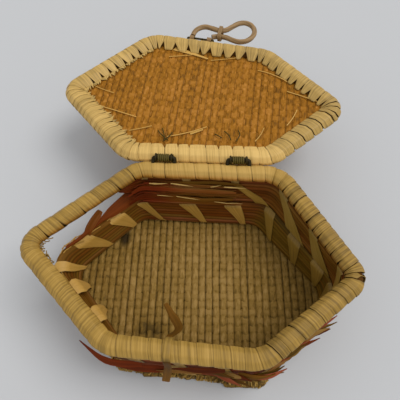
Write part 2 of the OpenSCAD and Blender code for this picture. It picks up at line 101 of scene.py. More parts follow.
# Torn strip in millimetres: back along the upper coil from the start of the back side, up from the lower
# coil, and width
TORN_ROUTE = (
    (-6, 9, 6), (2, 8, 9.5), (12, 6.4, 10.5), (22, 5.4, 9.5), (31, 4.8, 7.5), (38, 4.4, 4), (46, 3.4, 3.4),
    (54, 2.2, 3), (62, 1.8, 2.6), (70, 2.4, 2),
)
# The broken end that stands up beside it, in the same measures
STANDING_ROUTE = ((53, 0.4, 5), (50, 4, 5.6), (45, 8, 5.6), (40, 11.4, 5), (38, 13, 3.6))

# Leaves that stand off the outside of the wall, in millimetres: along the upper coil's foot from and to,
# heights, out from the coil's middle at both ends, width, then tone and dye
OUTSIDE_LEAVES = (
    (312, 347, 32, 41, 5.5, 11, 4.5, 0.3, 0.95), (296, 332, 27, 32, 5.6, 8, 5, 0.22, 0.95),
    (262, 296, 38, 30, 5, 6, 3.5, 0.12, 0.9), (276, 304, 26, 28, 5.4, 7, 3, 0.8, 0.3),
)
# Pale slivers split off the inner face of the upper coil at the back, in millimetres: along its foot from
# and to, heights above its foot, and width
PALE_SLIVERS = (
    (2, 15, 20.2, 20.8, 1.2), (17, 33, 20.8, 18.6, 1.1), (45, 52, 18.6, 21, 0.8), (54, 70, 19.8, 18.4, 1.1),
    (8, 20, 9.4, 8.4, 0.6), (22, 47, 8.6, 5, 0.7), (50, 71, 5, 4, 0.6),
)

# Where the pale strips cross the middle of each coil's inner face, in millimetres along its foot
LOWER_PLACES = (2, 35, 65.5, 93, 118.5, 140.5, 159, 184, 209, 234, 259, 284, 314, 345, 367, 387, 413, 436)
UPPER_PLACES = (8, 38, 74, 113, 141, 168, 195, 222, 249, 276, 303, 330, 357, 384)

# Where the torn upper coil starts before the back side and ends before the back left one, in millimetres
UPPER_TORN = (24, 18)

# Lightness and dye of the coil leaves on each side's inner face, and the dye on the outer face of both.
# Dye runs from 0, natural, to 1, red
LOWER_LIGHT = (0.58, 0.36, 0.36, 0.42, 0.5, 0.52)
LOWER_DYE = (0.55, 0.0, 0.15, 0.5, 0.3, 0.25)
UPPER_LIGHT = (0.55, 0.42, 0.4, 0.45, 0.45, 0.42)
UPPER_DYE = (0.65, 0.4, 0.75, 0.85, 0.85, 0.95)
OUTER_DYE = (0.85, 0.85, 0.7, 0.9, 0.9, 0.3)
# The strips wound round them on each side: lightness, how far they have aged to olive, width as a share of
# the usual, and how far they stand off the inner face in millimetres
LOWER_STRIP = (
    (0.66, 0.5, 0.4, 0.42, 1, 0.7), (0.1, 0.6, 0.5, 0.1, 0.15, 0.1), (1.15, 1.15, 1.15, 1.15, 1.2, 1.2),
    (0, 0, 0, 0, 4, 0),
)
UPPER_STRIP = (
    (0.5, 0.7, 0.45, 0.38, 0.4, 0.5), (0.3, 0.8, 0.5, 0.3, 0.2, 0.1), (1.1, 2.0, 1.5, 1.1, 1.1, 1.1),
    (0, 0, 0, 0, 0, 0),
)
# How far along its turn each strip is at the corners of its coil, from the top inward and round, and its
# width there. The lower one is broad over the top and narrow under the foot, and the upper one slants more
LOWER_SLANT = (0, 0.08, 0.5, 0.61, 1), (0.9, 1.25, 0.45, 0.8, 0.9)
UPPER_SLANT = (0, 0.05, 0.72, 0.78, 1), (0.9, 0.55, 1.2, 0.8, 0.9)

# Each side's wraps: lightness, how far they narrow to points along the inner edge, the gaps between them in
# millimetres beyond the usual, and their width as a share of the usual
BASE_LOOKS = (
    (0.93, 0.32, 0.3, 0.52, 0.46, 0.39), (0.05, 0.2, 0.06, 0.05, 0.05, 0.1), (0.5, 0.7, 0.6, 0.3, 0.4, 0.9),
    (1, 0.7, 0.9, 1, 0.9, 1.35),
)
LID_LOOKS = (
    (0.92, 0.42, 0.42, 0.48, 0.54, 0.55), (0.3, 0.1, 0.75, 0.9, 0.5, 0.4), (0.5, 1.7, 0.5, 0.1, 0.0, 0.0),
    (1, 1, 0.75, 0.95, 0.75, 0.5),
)
# How far each side of the base rim has browned on the inside, under its edge
BROWNED = (1, 0.6, 0.1, 0, 0.1, 1)
# How far the lid's wraps are drawn inward and up to lie on its mat, in millimetres
LID_LIP = (3.3, 0.3)

# Half thicknesses of the long straws of a mat and of those across, and how far they rise over each other, in
# millimetres
LONG_HALF, ACROSS_HALF, WEAVE_RISE = 1.3, 1.1, 0.17

# Places on the mats in millimetres that are lighter or darker: x, y, radius, change of tone
# On the floor the lighter middle is wear, the darker places by the sides are painted shade, and the small
# dark one at (-29, -40) is a painted shadow of the tie's curl
FLOOR_PATCHES = (
    (8, 0, 46, 0.2), (-62, 8, 34, -0.06), (78, -12, 36, -0.1), (-29, -40, 9, -0.4), (34, -52, 36, -0.08),
)
LID_PATCHES = ((0, 125, 50, 0.06), (70, 120, 25, -0.06), (-75, 130, 30, -0.06), (-20, 95, 25, 0.04))
# The dark spot on the floor mat by the back left wall, in millimetres: x, y, half widths
FLOOR_SPOT = (-56.5, 28, 3.6, 6)

# Loose straws on the open lid's mat in millimetres: both ends, and the width at each
LID_STRAWS = (
    (-90, 137.4, -70.8, 128.6, 0.7, 0.7), (-78, 115.3, -50, 105.6, 0.9, 0.8),
    (-53.6, 93.2, -37, 97.6, 0.8, 0.8), (-24.8, 88.8, 4, 98.2, 0.9, 0.7),
    (-8.1, 92.2, 1.3, 95.6, 2.2, 1.0), (-31.7, 169.9, -12, 171.6, 0.8, 0.6),
    (-28, 179.5, 0.6, 167.4, 4.6, 1.2), (3.1, 166.4, 25, 169.3, 0.8, 0.7),
    (41.2, 156.5, 63.7, 144.5, 0.8, 0.8), (63.5, 135.2, 86, 125.2, 0.9, 0.8),
    (62.6, 102.3, 70.4, 116.7, 0.8, 0.7), (39.4, 87, 45.8, 98.9, 0.8, 0.7),
)
# Thread ends of the hinges on the same mat, in millimetres
THREAD_ENDS = (
    (-32, 94, -23.5, 85), (-21.4, 92.6, -27.1, 84.5), (-29, 96, -26, 85), (10.3, 92.1, 15.5, 88.7),
    (17, 95, 22, 87), (26.9, 96.4, 25.8, 86),
)

# How strongly the ribs of the woven straw show
STRAW_RIBS = {"ribbed": 1.9, "smooth": 0.6}
# Width of the blotches on every plant material in millimetres, as wide as two wraps
BLOTCH = 18
# What a colour is multiplied by in its dark and its light tone, and the whitening added in the light one,
# partly the bleach of dry straw and partly painted sheen
DARK, LIGHT, BLEACH_AND_SHEEN = 0.42, 1.4, 0.03
# Colour of the dirt and of painted shade
DIRT_AND_SHADE = "#24180A"

# The view of the photograph: lens and frame in pixels, sensor in millimetres, place in millimetres, and turn
# to the right, down and about the line of sight in degrees
LENS_PIXELS, FRAME_PIXELS, SENSOR = 430, 400, 36
CAMERA_PLACE = (22.35, -99.34, 308.3)
CAMERA_TURN = (-8.049, 61.536, 4.653)
# Light from all round and from the window, their colours in linear light, and the window's breadth in degrees
# and its way
ROOM_LIGHT, WINDOW_LIGHT = 0.65, 1.3
ROOM_COLOUR, WINDOW_COLOUR = (0.97, 0.985, 1), (1, 0.985, 0.96)
WINDOW_BREADTH = 36
WINDOW_WAY = (-0.5, -0.12, -0.85)
# Half the width of the table in metres
TABLE_HALF = 3.0

# Seeds of the random draws
SEEDS = {
    "floor": 11, "lid": 12, "fringe": 13, "lower_coil": 21, "upper_coil": 22, "lower_strip": 31,
    "upper_strip": 32, "base_rim": 41, "lid_rim": 42, "leaf_points": 43, "loose_straws": 51, "shreds": 61,
}


def linear(code):
    """A colour written as sRGB hex, in linear light."""
    parts = [int(code[i:i + 2], 16) / 255 for i in (1, 3, 5)]
    return tuple(c / 12.92 if c <= 0.04045 else ((c + 0.055) / 1.055) ** 2.4 for c in parts)


def length(name, description, millimetres):
    """A size that shows in the sidebar."""
    size = millimetres * MM
    return FloatProperty(name=name, description=description, default=size, unit="LENGTH", precision=4)


def colour(name, description, code):
    """A colour that shows in the sidebar."""
    rgb = linear(code)
    return FloatVectorProperty(name=name, description=description, default=rgb, subtype="COLOR", min=0, max=1)


class BasketSizes(bpy.types.PropertyGroup):
    """Sizes of the basket, nearly all as its solids have them"""

    floor_w: length("Floor width", "Floor mat from corner to corner along the hinge line", 208)
    floor_d: length("Floor depth", "Floor mat from its front edge to its back edge", 121)
    floor_side: length("Floor side", "Length of the floor's front and back edges", 96)
    floor_forward: length("Floor forward", "How far the floor stands forward of the rim", 8)
    rim_w: length("Rim width", "Rim from corner to corner on its middle line", 212)
    rim_d: length("Rim depth", "Rim from front to back on its middle line", 120)
    rim_side: length("Rim side", "Length of the rim's front and back sides", 96)
    rim_bend: length("Rim bend", "Radius of the rims' left and right bends on their middle line", 10)
    blunt_bend: length("Blunt bend", "Radius of the rims' four blunt bends on their middle line", 20)
    rim_chamfer: length("Rim edge", "Width and height of the slanted edges of a wrapped rim", 3.6)
    lid_w: length("Lid width", "Lid rim from corner to corner on its middle line", 208)
    lid_d: length("Lid depth", "Lid rim from its hinge side to its front", 108)
    lid_gap: length("Lid gap", "Space between the shut lid's rim and the base rim", 2.2)
    tube_w: length("Rim tube width", "Width of a wrapped rim, seen from above", 12.5)
    tube_t: length("Rim tube height", "Height of a wrapped rim", 9.5)
    wrap_pitch: length("Wrap spacing", "Spacing of the leaf wraps on a straight side", 10)
    bend_pitch: length("Bend spacing", "Spacing of the leaf wraps round a sharp bend", 4.3)
    coil_t: length("Coil thickness", "Thickness of a wall coil with its strip", 8)
    coil_h: length("Coil height", "Height of a wall coil with its strip", 22.2)
    coil_bend: length("Coil bend", "Radius of the coils' bends on their middle line", 16)
    strip_w: length("Strip width", "Width of the pale strip wound round a coil", 8)
    straw_pitch: length("Straw spacing", "Spacing of the straws that run front to back", 5.1)
    weft_pitch: length("Weft spacing", "Spacing of the straws woven across them", 5.7)
    straw_t: length("Mat thickness", "Thickness of a woven mat", 3.6)
    mat_inset: length("Mat inset", "How far the lid's mat lies below its outer face", 1.5)
    hinge_left: length("Left hinge", "Place of the left hinge along the hinge line", -24)
    hinge_right: length("Right hinge", "Place of the right hinge along the hinge line", 28)
    loop_x: length("Loop place", "Place of the closing loop along the lid's front", -8.5)
    loop_d: length("Loop thickness", "Thickness of the twisted straw loop", 4.2)
    loop_length: length("Loop length", "Length of the twisted straw loop on its middle line", 110)
    tie_x: length("Tie place", "Place of the leaf tie along the front rim", -8.5)
    tie_w: length("Tie width", "Width of the leaf tie", 5.5)


class BasketColours(bpy.types.PropertyGroup):
    """Colours of the basket's straw, leaf and thread, and of the table"""

    lid_wrap: colour("Lid rim leaf", "Leaf wound round the lid's rim", "#C19D55")
    base_wrap: colour("Base rim leaf", "Leaf wound round the base's rim, browner with handling", "#A9853C")
    floor: colour("Floor straw", "Straw of the floor mat", "#896A2E")
    lid: colour("Lid straw", "Straw of the lid's mat", "#A26A18")
    strip: colour("Pale strip", "Natural strip wound round the coils", "#B28838")
    olive: colour("Olive strip", "The same strip where it has aged to olive", "#7C641E")
    natural: colour("Coil leaf", "Undyed leaf of the coils, aged to olive", "#7A5B18")
    red: colour("Red leaf", "Dyed leaf of the coils", "#7C2E0A")
    thread: colour("Hinge thread", "Thread of the hinges", "#54460F")
    rope: colour("Loop straw", "Twisted straw of the closing loop", "#9C7C52")
    table: colour("Table", "Plain pale table that the basket stands on", "#C8C9CB")


# Shapes


def outline(w, d, side, y, strays):
    """Six corners clockwise from the back left one, with their handmade strays."""
    a, b, c = side / 2, d / 2, w / 2
    even = ((-a, b), (a, b), (c, 0), (a, -b), (-a, -b), (-c, 0))
    return np.array(even) + (0, y) + np.array(strays) * MM


def side_ways(corners):
    """The direction of each side and its outward direction."""
    along = units(np.roll(corners, -1, axis=0) - corners)
    return along, np.column_stack([-along[:, 1], along[:, 0]])


def moved_out(corners, moves):
    """An outline with each side moved outward by its own distance."""
    _, out = side_ways(corners)
    pairs = np.stack([np.roll(out, 1, axis=0), out], axis=1)
    return corners + np.linalg.solve(pairs, np.stack([np.roll(moves, 1), moves], axis=1)[..., None])[..., 0]


def span(corners, x):
    """Where the line at x crosses an outline: its lowest and its highest y."""
    after = np.roll(corners, -1, axis=0)
    cut = (corners[:, 0] - x) * (after[:, 0] - x) < 0
    a, b = corners[cut], after[cut]
    y = a[:, 1] + (b[:, 1] - a[:, 1]) * (x - a[:, 0]) / (b[:, 0] - a[:, 0])
    return (y.min(), y.max()) if len(y) else (0.0, 0.0)


def turned(points, degrees):
    """Points turned about the Z axis, anticlockwise from above."""
    c, s = math.cos(math.radians(degrees)), math.sin(math.radians(degrees))
    x, y = points[..., :1], points[..., 1:2]
    return np.concatenate([x * c - y * s, x * s + y * c, points[..., 2:]], axis=-1)


def units(v):
    """Vectors of length 1."""
    return v / np.maximum(np.linalg.norm(v, axis=-1, keepdims=True), 1e-12)


def distances(path):
    """Distance along a path at each of its points."""
    return np.concatenate([[0], np.cumsum(np.linalg.norm(np.diff(path, axis=0), axis=1))])


def smooth(points, steps):
    """A smooth curve through points, with some steps from each to the next."""
    p = np.asarray(points, float)
    p = np.concatenate([p[:1], p, p[-1:]])
    t = (np.arange(steps) / steps)[:, None]
    a, b, c, d = (p[i:len(p) - 3 + i, None] for i in range(4))
    curve = 2 * b + (c - a) * t + (2 * a - 5 * b + 4 * c - d) * t ** 2 + (3 * b - a - 3 * c + d) * t ** 3
    return np.concatenate([curve.reshape(-1, p.shape[1]) / 2, p[-1:]])


def drift(rng, count, every, amount):
    """A smooth random run of numbers about zero, with a new value at every so many."""
    knots = rng.normal(0, amount, max(3, int(count / every) + 3))
    return np.interp(np.arange(count) / every, np.arange(len(knots)), knots)


class Way:
    """A closed way round six corners with rounded bends, measured clockwise from the start of its back side.

    bend is the radius of all bends, or of each one from the back left corner on.
    """

    def __init__(self, corners, bend):
        along, out = side_ways(corners)
        bend = np.broadcast_to(bend, 6)
        turn = np.arccos(np.sum(np.roll(along, 1, axis=0) * along, axis=1))
        cut = bend * np.tan(turn / 2)
        run = np.linalg.norm(np.roll(corners, -1, axis=0) - corners, axis=1) - cut - np.roll(cut, -1)
        start = corners + along * cut[:, None]
        # The radius of the bend that ends each side
        self.bends = np.repeat(np.roll(bend, -1), 2)
        self.marks = np.concatenate([[0], np.cumsum(np.column_stack([run, np.roll(bend * turn, -1)]))])
        self.length = self.marks[-1]
        self.starts = np.stack([start, start + along * run[:, None]], axis=1).reshape(12, 2)
        self.along = np.repeat(along, 2, axis=0)
        self.out = np.repeat(out, 2, axis=0)

    def at(self, s, out, z):
        """Points at distance s along the way, out from it, and at height z."""
        s, out, z = np.broadcast_arrays(np.mod(s, self.length), out, z)
        k = np.clip(np.searchsorted(self.marks, s, side="right") - 1, 0, 11)
        d, bent, bend = s - self.marks[k], k % 2 == 1, self.bends[k]
        angle = np.where(bent, d / bend, 0)[..., None]
        normal = self.out[k] * np.cos(angle) + self.along[k] * np.sin(angle)
        flat = self.starts[k] + self.along[k] * np.where(bent, 0, d)[..., None]
        flat = flat + normal * (bend + out)[..., None] - self.out[k] * bend[..., None]
        return np.concatenate([flat, z[..., None]], axis=-1)

    def shared(self, values, s):
        """Values given for the six sides, run smoothly into each other round the bends."""
        return np.interp(np.mod(s, self.length), self.marks, np.append(np.repeat(values, 2), values[0]))


class Wall:
    """A leaning wall between the ways at its foot and its top, measured along the one at its foot."""

    def __init__(self, foot, top, middle, height):
        self.foot, self.top = foot, top
        self.low, self.height = middle - height / 2, height
        self.length, self.marks, self.shared = foot.length, foot.marks, foot.shared

    def at(self, s, out, z):
        """Points at distance s along the foot, out from the wall's middle, and at height z."""
        s, out, z = np.broadcast_arrays(s, out, z)
        above = np.interp(np.mod(s, self.length), self.marks, self.top.marks)
        share = ((z - self.low) / self.height)[..., None]
        return self.foot.at(s, out, z) * (1 - share) + self.top.at(above, out, z) * share


class Section:
    """An eight-cornered section with softened corners.

    Its corners are counted from 0 at the foot of the outer side, up, inward over the top (2 and 3), down the
    inside (4 and 5) and back below. lip is how far corner 5 is drawn inward and up, to lie on a mat.
    """

    def __init__(self, w, t, chamfer, soft, lip=(0, 0)):
        x, z = w / 2 - chamfer, t / 2 - chamfer
        a, b = w / 2, t / 2
        inner = (-a - lip[0], lip[1] - z)
        corners = np.array([(a, -z), (a, z), (x, b), (-x, b), (-a, z), inner, (-x, -b), (x, -b)])
        first = corners + units(np.roll(corners, 1, axis=0) - corners) * soft
        last = corners + units(np.roll(corners, -1, axis=0) - corners) * soft
        t = np.linspace(0, 1, 5)[:, None, None]
        points = (1 - t) ** 2 * first + 2 * t * (1 - t) * corners + t ** 2 * last
        points = points.transpose(1, 0, 2).reshape(-1, 2)
        self.points = np.concatenate([points, points[:1]])
        self.marks = distances(self.points)
        self.round = self.marks[-1]

    def corner(self, index):
        """Share of the way round at which a corner lies. A half index lies between two corners."""
        return float(np.interp(5 * index + 2, np.arange(len(self.marks)), self.marks)) / self.round

    def at(self, share):
        """Points at shares of the way round, out and up from the middle, and their outward directions."""
        d = np.mod(share, 1) * self.round
        n, z = (np.interp(d, self.marks, self.points[:, k]) for k in (0, 1))
        ends = [
            [np.interp(np.mod(d + step, self.round), self.marks, self.points[:, k]) for k in (0, 1)]
            for step in (-0.2 * MM, 0.2 * MM)
        ]
        run_n, run_z = ends[1][0] - ends[0][0], ends[1][1] - ends[0][1]
        size = np.maximum(np.hypot(run_n, run_z), 1e-12)
        return n, z, run_z / size, -run_n / size


class Form:
    """Outlines, ways and heights of the basket, worked out from its sizes as the solids are."""

    def __init__(self, z):
        gap = 0.3 * MM
        self.floor = outline(z.floor_w, z.floor_d, z.floor_side, -z.floor_forward, FLOOR_STRAYS)
        self.rim = outline(z.rim_w, z.rim_d, z.rim_side, 0, RIM_STRAYS)
        self.lid = outline(z.lid_w, z.lid_d, z.rim_side, (z.rim_d - z.lid_d) / 2, LID_STRAYS)
        lower = moved_out(self.floor, np.full(6, -1.5 * MM - z.coil_t / 2))
        # The blunt corners of both rims have worn rounder than the two sharp ones
        bends = np.where(np.arange(6) % 3 == 2, z.rim_bend, z.blunt_bend)
        self.rim_way, self.lid_way = (Way(corners, bends) for corners in (self.rim, self.lid))
        self.lower_z = z.straw_t + gap + z.coil_h / 2
        self.upper_z = self.lower_z + z.coil_h + gap
        # The wall leans evenly from the floor to the rim, apart from where its foot has slipped
        foot = moved_out(lower, np.array(WALL_FOOT) * MM)
        ways = [Way(corners, z.coil_bend) for corners in (foot, (lower + self.rim) / 2, self.rim)]
        self.lower_wall = Wall(ways[0], ways[1], self.lower_z, z.coil_h)
        self.upper_wall = Wall(ways[1], ways[2], self.upper_z, z.coil_h)
        self.rim_z = self.upper_z + z.coil_h / 2 + gap + z.tube_t / 2
        self.hinge_z = self.rim_z + z.tube_t / 2 + z.lid_gap / 2
        self.lid_z = self.hinge_z + z.lid_gap / 2 + z.tube_t / 2
        self.mat_z = self.lid_z + z.tube_t / 2 - z.mat_inset - z.straw_t / 2
        self.hinge_y = z.rim_d / 2 + z.tube_w / 2 + gap
        self.upper_from = -UPPER_TORN[0] * MM
        self.upper_to = self.upper_wall.marks[10] - UPPER_TORN[1] * MM
        self.tube_w = z.tube_w
        self.loop_x = z.loop_x

    def laid_open(self, points):
        """Points of the shut lid, moved back to where it lies open."""
        return np.array([0, 2 * self.hinge_y, 2 * self.hinge_z]) + np.asarray(points) * (1, -1, -1)

    def by_loop(self, points):
        """Points of the loop's own frame in millimetres, placed on the open lid."""
        u, v, w = np.asarray(points, float).T * MM
        along = side_ways(self.lid)[0][3]
        out = self.tube_w / 2 + v
        x = self.loop_x - along[0] * u - along[1] * out
        y = span(self.lid, self.loop_x)[0] - along[1] * u + along[0] * out
        return self.laid_open(np.column_stack([x, y, self.lid_z - w]))


class Work:
    """Collects closed tubes and strips for one mesh, with the run of their grain and their tint."""

    def __init__(self):
        self.points, self.faces, self.grain, self.tints = [], [], [], []
        self.count = 0

    def tube(self, rings, across, along, tone, dye=0.0, dirt_and_shade=0.0, closed=False):
        """Adds a skin over rings of points.

        across and along are distances for its grain, and tone, dye and dirt_and_shade its tint, the last
        darkening it with dirt and painted shade.
        """
        n, m = rings.shape[:2]
        j = np.arange(n if closed else n - 1)[:, None]
        i = np.arange(m)[None, :]
        a, b = j * m + i, j * m + (i + 1) % m
        up = ((j + 1) % n - j) * m
        quads = np.stack([a, b, b + up, a + up], axis=-1).reshape(-1, 4)
        across = np.broadcast_to(across, m + 1)
        along = np.append(along, along[-1] + 5 * MM)
        left, right = across[i] + 0 * j, across[i + 1] + 0 * j
        low, high = along[j] + 0 * i, along[j + 1] + 0 * i
        grain = np.stack([left, low, right, low, right, high, left, high], axis=-1).reshape(-1, 4, 2)
        flat = rings.reshape(-1, 3)
        centre = flat.mean(axis=0)
        p, q, r, t = (flat[quads[:, k]] - centre for k in range(4))
        volume = np.sum(p * np.cross(q, r)) + np.sum(p * np.cross(r, t))
        if volume < 0:
            quads, grain = quads[:, ::-1], grain[:, ::-1]
        self.faces += (quads + self.count).tolist()
        self.grain.append(grain.reshape(-1, 2))
        if not closed:
            for ring, turn in ((0, -1), (n - 1, 1)):
                face = np.arange(m)[::turn if volume > 0 else -turn]
                self.faces.append((face + ring * m + self.count).tolist())
                self.grain.append(np.column_stack([across[face], np.full(m, along[ring])]))
        tints = np.ones((n, m, 4))
        for channel, value in enumerate((tone, dye, dirt_and_shade)):
            value = np.asarray(value, float)
            tints[..., channel] = value[:, None] if value.ndim == 1 and len(value) == n else value
        self.tints.append(tints.reshape(-1, 4))
        self.points.append(flat)
        self.count += n * m

    def moved(self, move):
        """The same work with its points moved."""
        self.points = [move(p) for p in self.points]
        return self

    def mesh(self, name):
        """The collected mesh."""
        made = bpy.data.meshes.new(name)
        made.from_pydata(np.concatenate(self.points).tolist(), [], self.faces)
        made.uv_layers.new(name="grain").data.foreach_set("uv", np.concatenate(self.grain).ravel())
        tint = made.color_attributes.new("tint", "FLOAT_COLOR", "POINT")
        tint.data.foreach_set("color", np.concatenate(self.tints).ravel())
        made.polygons.foreach_set("use_smooth", np.ones(len(made.polygons), bool))
        made.set_sharp_from_angle(angle=math.radians(55))
        made.update()
        return made


def place(work, name, material, body, slot, *nodes):
    """Makes a piece of a mesh, on a body and in place of its solids."""
    made = bpy.data.objects.new(name, work.mesh(name))
    made.data.materials.append(material)
    bpy.context.scene.collection.objects.link(made)
    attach(made, body)
    if nodes:
        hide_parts(*nodes)
    return made


def cross_ways(path):
    """Two directions across a path at each point, carried along it without twist."""
    along = units(np.gradient(path, axis=0))
    side = np.cross(along[0], (0, 0, 1) if abs(along[0][2]) < 0.9 else (1, 0, 0))
    sides = []
    for step in along:
        side = side - step * np.dot(side, step)
        side = side / np.linalg.norm(side)
        sides.append(side)
    sides = np.array(sides)
    return sides, np.cross(along, sides)


def strand(work, path, radius, tone, sides=8, ridges=0, lay=1.0, dirt_and_shade=0.0):
    """Adds a round strand along a path. Ridges wind round it once in each lay, with painted shade in their
    grooves.
    """
    path = np.asarray(path, float)
    a, b = cross_ways(path)
    angle = 2 * np.pi * np.arange(sides) / sides
    along = distances(path)
    groove = np.zeros((len(path), sides))
    if ridges:
        groove = np.clip(np.cos(ridges * angle[None] - 2 * np.pi * along[:, None] / lay), 0, 1) ** 3
    radius = np.broadcast_to(radius, len(path))[:, None] * (1 - 0.12 * groove)
    across = a[:, None] * np.cos(angle)[:, None] + b[:, None] * np.sin(angle)[:, None]
    round_ = 2 * np.pi * np.max(radius) * np.arange(sides + 1) / sides
    rings = path[:, None] + radius[..., None] * across
    work.tube(rings, round_, along, tone, 0.0, np.maximum(dirt_and_shade, 0.4 * groove))


def leaf(work, path, side, width, thick, tone, dye=0.0, dirt_and_shade=0.0, crown=0.0):
    """Adds a flat leaf strip along a path. side is the direction across it at each point."""
    path = np.asarray(path, float)
    along = units(np.gradient(path, axis=0))
    side = np.broadcast_to(side, path.shape)
    side = units(side - along * np.sum(side * along, axis=1)[:, None])
    up = np.cross(side, along)
    half = np.broadcast_to(width, len(path))[:, None] / 2
    # Seven points over the top, which thins at its edges, and three below
    u = np.array([-1, -0.8, -0.4, 0, 0.4, 0.8, 1, 0.8, 0, -0.8])
    top = np.arange(10) < 7
    lift = np.where(top, thick / 2 - thick * 0.4 * np.abs(u) ** 6, -thick / 2) + crown * (1 - u ** 2)
    rings = path[:, None] + side[:, None] * (half * u)[..., None] + up[:, None] * lift[None, :, None]
    work.tube(rings, np.append(u, u[0]) * np.max(half), distances(path), tone, dye, dirt_and_shade)


def coil(middle, turns, width, radius):
    """Turns round the X axis, spread over a width about a middle."""
    turn = np.linspace(0, turns, turns * 24 + 1)
    angle = 2 * np.pi * turn
    along = middle + (turn / turns - 0.5) * width
    return np.column_stack([along, radius * np.cos(angle), radius * np.sin(angle)])


def basket(context):
    """The basket's form, its sizes and its colours."""
    sizes = context.scene.basket_sizes
    return Form(sizes), sizes, context.scene.basket_colours


# Materials


def node(tree, kind, inputs=None, **settings):
    """Adds a node with its settings. An input that is a socket is linked, and any other is set."""
    made = tree.nodes.new(kind)
    for key, value in settings.items():
        setattr(made, key, value)
    for key, value in (inputs or {}).items():
        if isinstance(value, bpy.types.NodeSocket):
            tree.links.new(value, made.inputs[key])
        else:
            made.inputs[key].default_value = value
    return made


def times(rgb, factor, whitening=0.0):
    """A colour made darker or lighter, or paled towards white, with alpha."""
    return (*(min(1, c * factor + whitening) for c in rgb), 1)


def plant(name, body, fibre, run, rough, relief, dye=None, contrast=0.5, shine=0.4):
    """A dry plant material.

    fibre and run are the width and length of its fibres in millimetres, and relief their height. The tint of
    the mesh gives each strip its own tone, with painted highlight and shade in it, its dye, and dirt and
    painted shade along its edges and in its grooves.
    """
    found = bpy.data.materials.get(name)
    if found:
        return found
    made = bpy.data.materials.new(name)
    made.use_nodes = True
    tree = made.node_tree
    shader = tree.nodes["Principled BSDF"]
    grain = node(tree, "ShaderNodeUVMap", uv_map="grain")
    scale = (1 / (fibre * MM), 1 / (run * MM), 1)
    stretched = node(tree, "ShaderNodeMapping", {"Vector": grain.outputs["UV"], "Scale": scale})
    fine = {"Vector": stretched.outputs[0], "Scale": 1, "Detail": 3, "Roughness": 0.6}
    fibres = node(tree, "ShaderNodeTexNoise", fine).outputs["Fac"]
    where = node(tree, "ShaderNodeTexCoord").outputs["Object"]
    coarse = {"Vector": where, "Scale": 1 / (BLOTCH * MM), "Detail": 2}
    blotch = node(tree, "ShaderNodeTexNoise", coarse).outputs["Fac"]
    tint = node(tree, "ShaderNodeAttribute", attribute_name="tint")
    parts = node(tree, "ShaderNodeSeparateColor", {"Color": tint.outputs["Color"]}).outputs
    spread = {0: fibres, 1: contrast, 2: -contrast / 2}
    streaks = node(tree, "ShaderNodeMath", spread, operation="MULTIPLY_ADD")
    blotches = node(tree, "ShaderNodeMath", {0: blotch, 1: 0.4, 2: -0.2}, operation="MULTIPLY_ADD")
    mottle = node(tree, "ShaderNodeMath", {0: streaks.outputs[0], 1: blotches.outputs[0]})
    tone = node(tree, "ShaderNodeMath", {0: parts["Red"], 1: mottle.outputs[0]}).outputs[0]
    # The lower half of the tones runs from dark to middle, and the upper half on to light
    low = node(tree, "ShaderNodeMath", {0: tone, 1: 2.0}, operation="MULTIPLY", use_clamp=True)
    high = node(tree, "ShaderNodeMath", {0: tone, 1: 2.0, 2: -1.0}, operation="MULTIPLY_ADD", use_clamp=True)

    def toned(rgb):
        """A colour in its dark, middle and light tones."""
        shades = {0: low.outputs[0], 6: times(rgb, DARK), 7: times(rgb, 1)}
        shaded = node(tree, "ShaderNodeMix", shades, data_type="RGBA")
        lights = {0: high.outputs[0], 6: shaded.outputs[2], 7: times(rgb, LIGHT, BLEACH_AND_SHEEN)}
        return node(tree, "ShaderNodeMix", lights, data_type="RGBA").outputs[2]

    last = toned(body)
    if dye is not None:
        dyed = {0: parts["Green"], 6: last, 7: toned(dye)}
        last = node(tree, "ShaderNodeMix", dyed, data_type="RGBA").outputs[2]
    # Dirt and painted shade are dark, and warmer on a warmer material
    darkening = (*(0.5 * dark + 0.08 * own for dark, own in zip(linear(DIRT_AND_SHADE), body)), 1)
    darkened = node(tree, "ShaderNodeMix", {0: parts["Blue"], 6: last, 7: darkening}, data_type="RGBA")
    tree.links.new(darkened.outputs[2], shader.inputs["Base Color"])
    gloss = node(tree, "ShaderNodeMath", {0: fibres, 1: 0.25, 2: rough - 0.125}, operation="MULTIPLY_ADD")
    tree.links.new(gloss.outputs[0], shader.inputs["Roughness"])
    bump = node(tree, "ShaderNodeBump", {"Height": fibres, "Strength": 0.6, "Distance": relief * MM})
    tree.links.new(bump.outputs[0], shader.inputs["Normal"])
    shader.inputs["IOR"].default_value = 1.45
    shader.inputs["Specular IOR Level"].default_value = shine
    return made


def lid_leaf(colours):
    """Split leaf, dried and wound wet: a waxy skin with a soft gleam and fine veins along each strip."""
    # The veins are about 0.3 mm apart on the leaf, and drawn at 1.4 mm so that they show
    return plant("dried_leaf_wound_pale", colours.lid_wrap, 1.4, 40, 0.5, 0.3, contrast=1.5)


def base_leaf(colours):
    """The same leaf on the base rim, rubbed and browned by handling: duller, with the veins more open."""
    return plant(
        "dried_leaf_wound_browned", colours.base_wrap, 1.4, 40, 0.55, 0.3,
        dye=colours.lid, contrast=1.6, shine=0.3,
    )


def floor_straw(colours, finish="ribbed"):
    """Rush straw, flattened and woven: dull, ribbed along each straw, dusty and olive with age."""
    ribs = STRAW_RIBS[finish]
    return plant(
        f"rush_straw_woven_aged_{finish}", colours.floor, 1.0, 5, 0.7, 0.3, contrast=ribs, shine=0.16
    )


def lid_straw(colours, finish="ribbed"):
    """The same rush straw, kept cleaner under the lid: warmer, with a little of its first gleam."""
    ribs = STRAW_RIBS[finish]
    return plant(
        f"rush_straw_woven_warm_{finish}", colours.lid, 1.0, 6, 0.65, 0.3, contrast=ribs, shine=0.16
    )


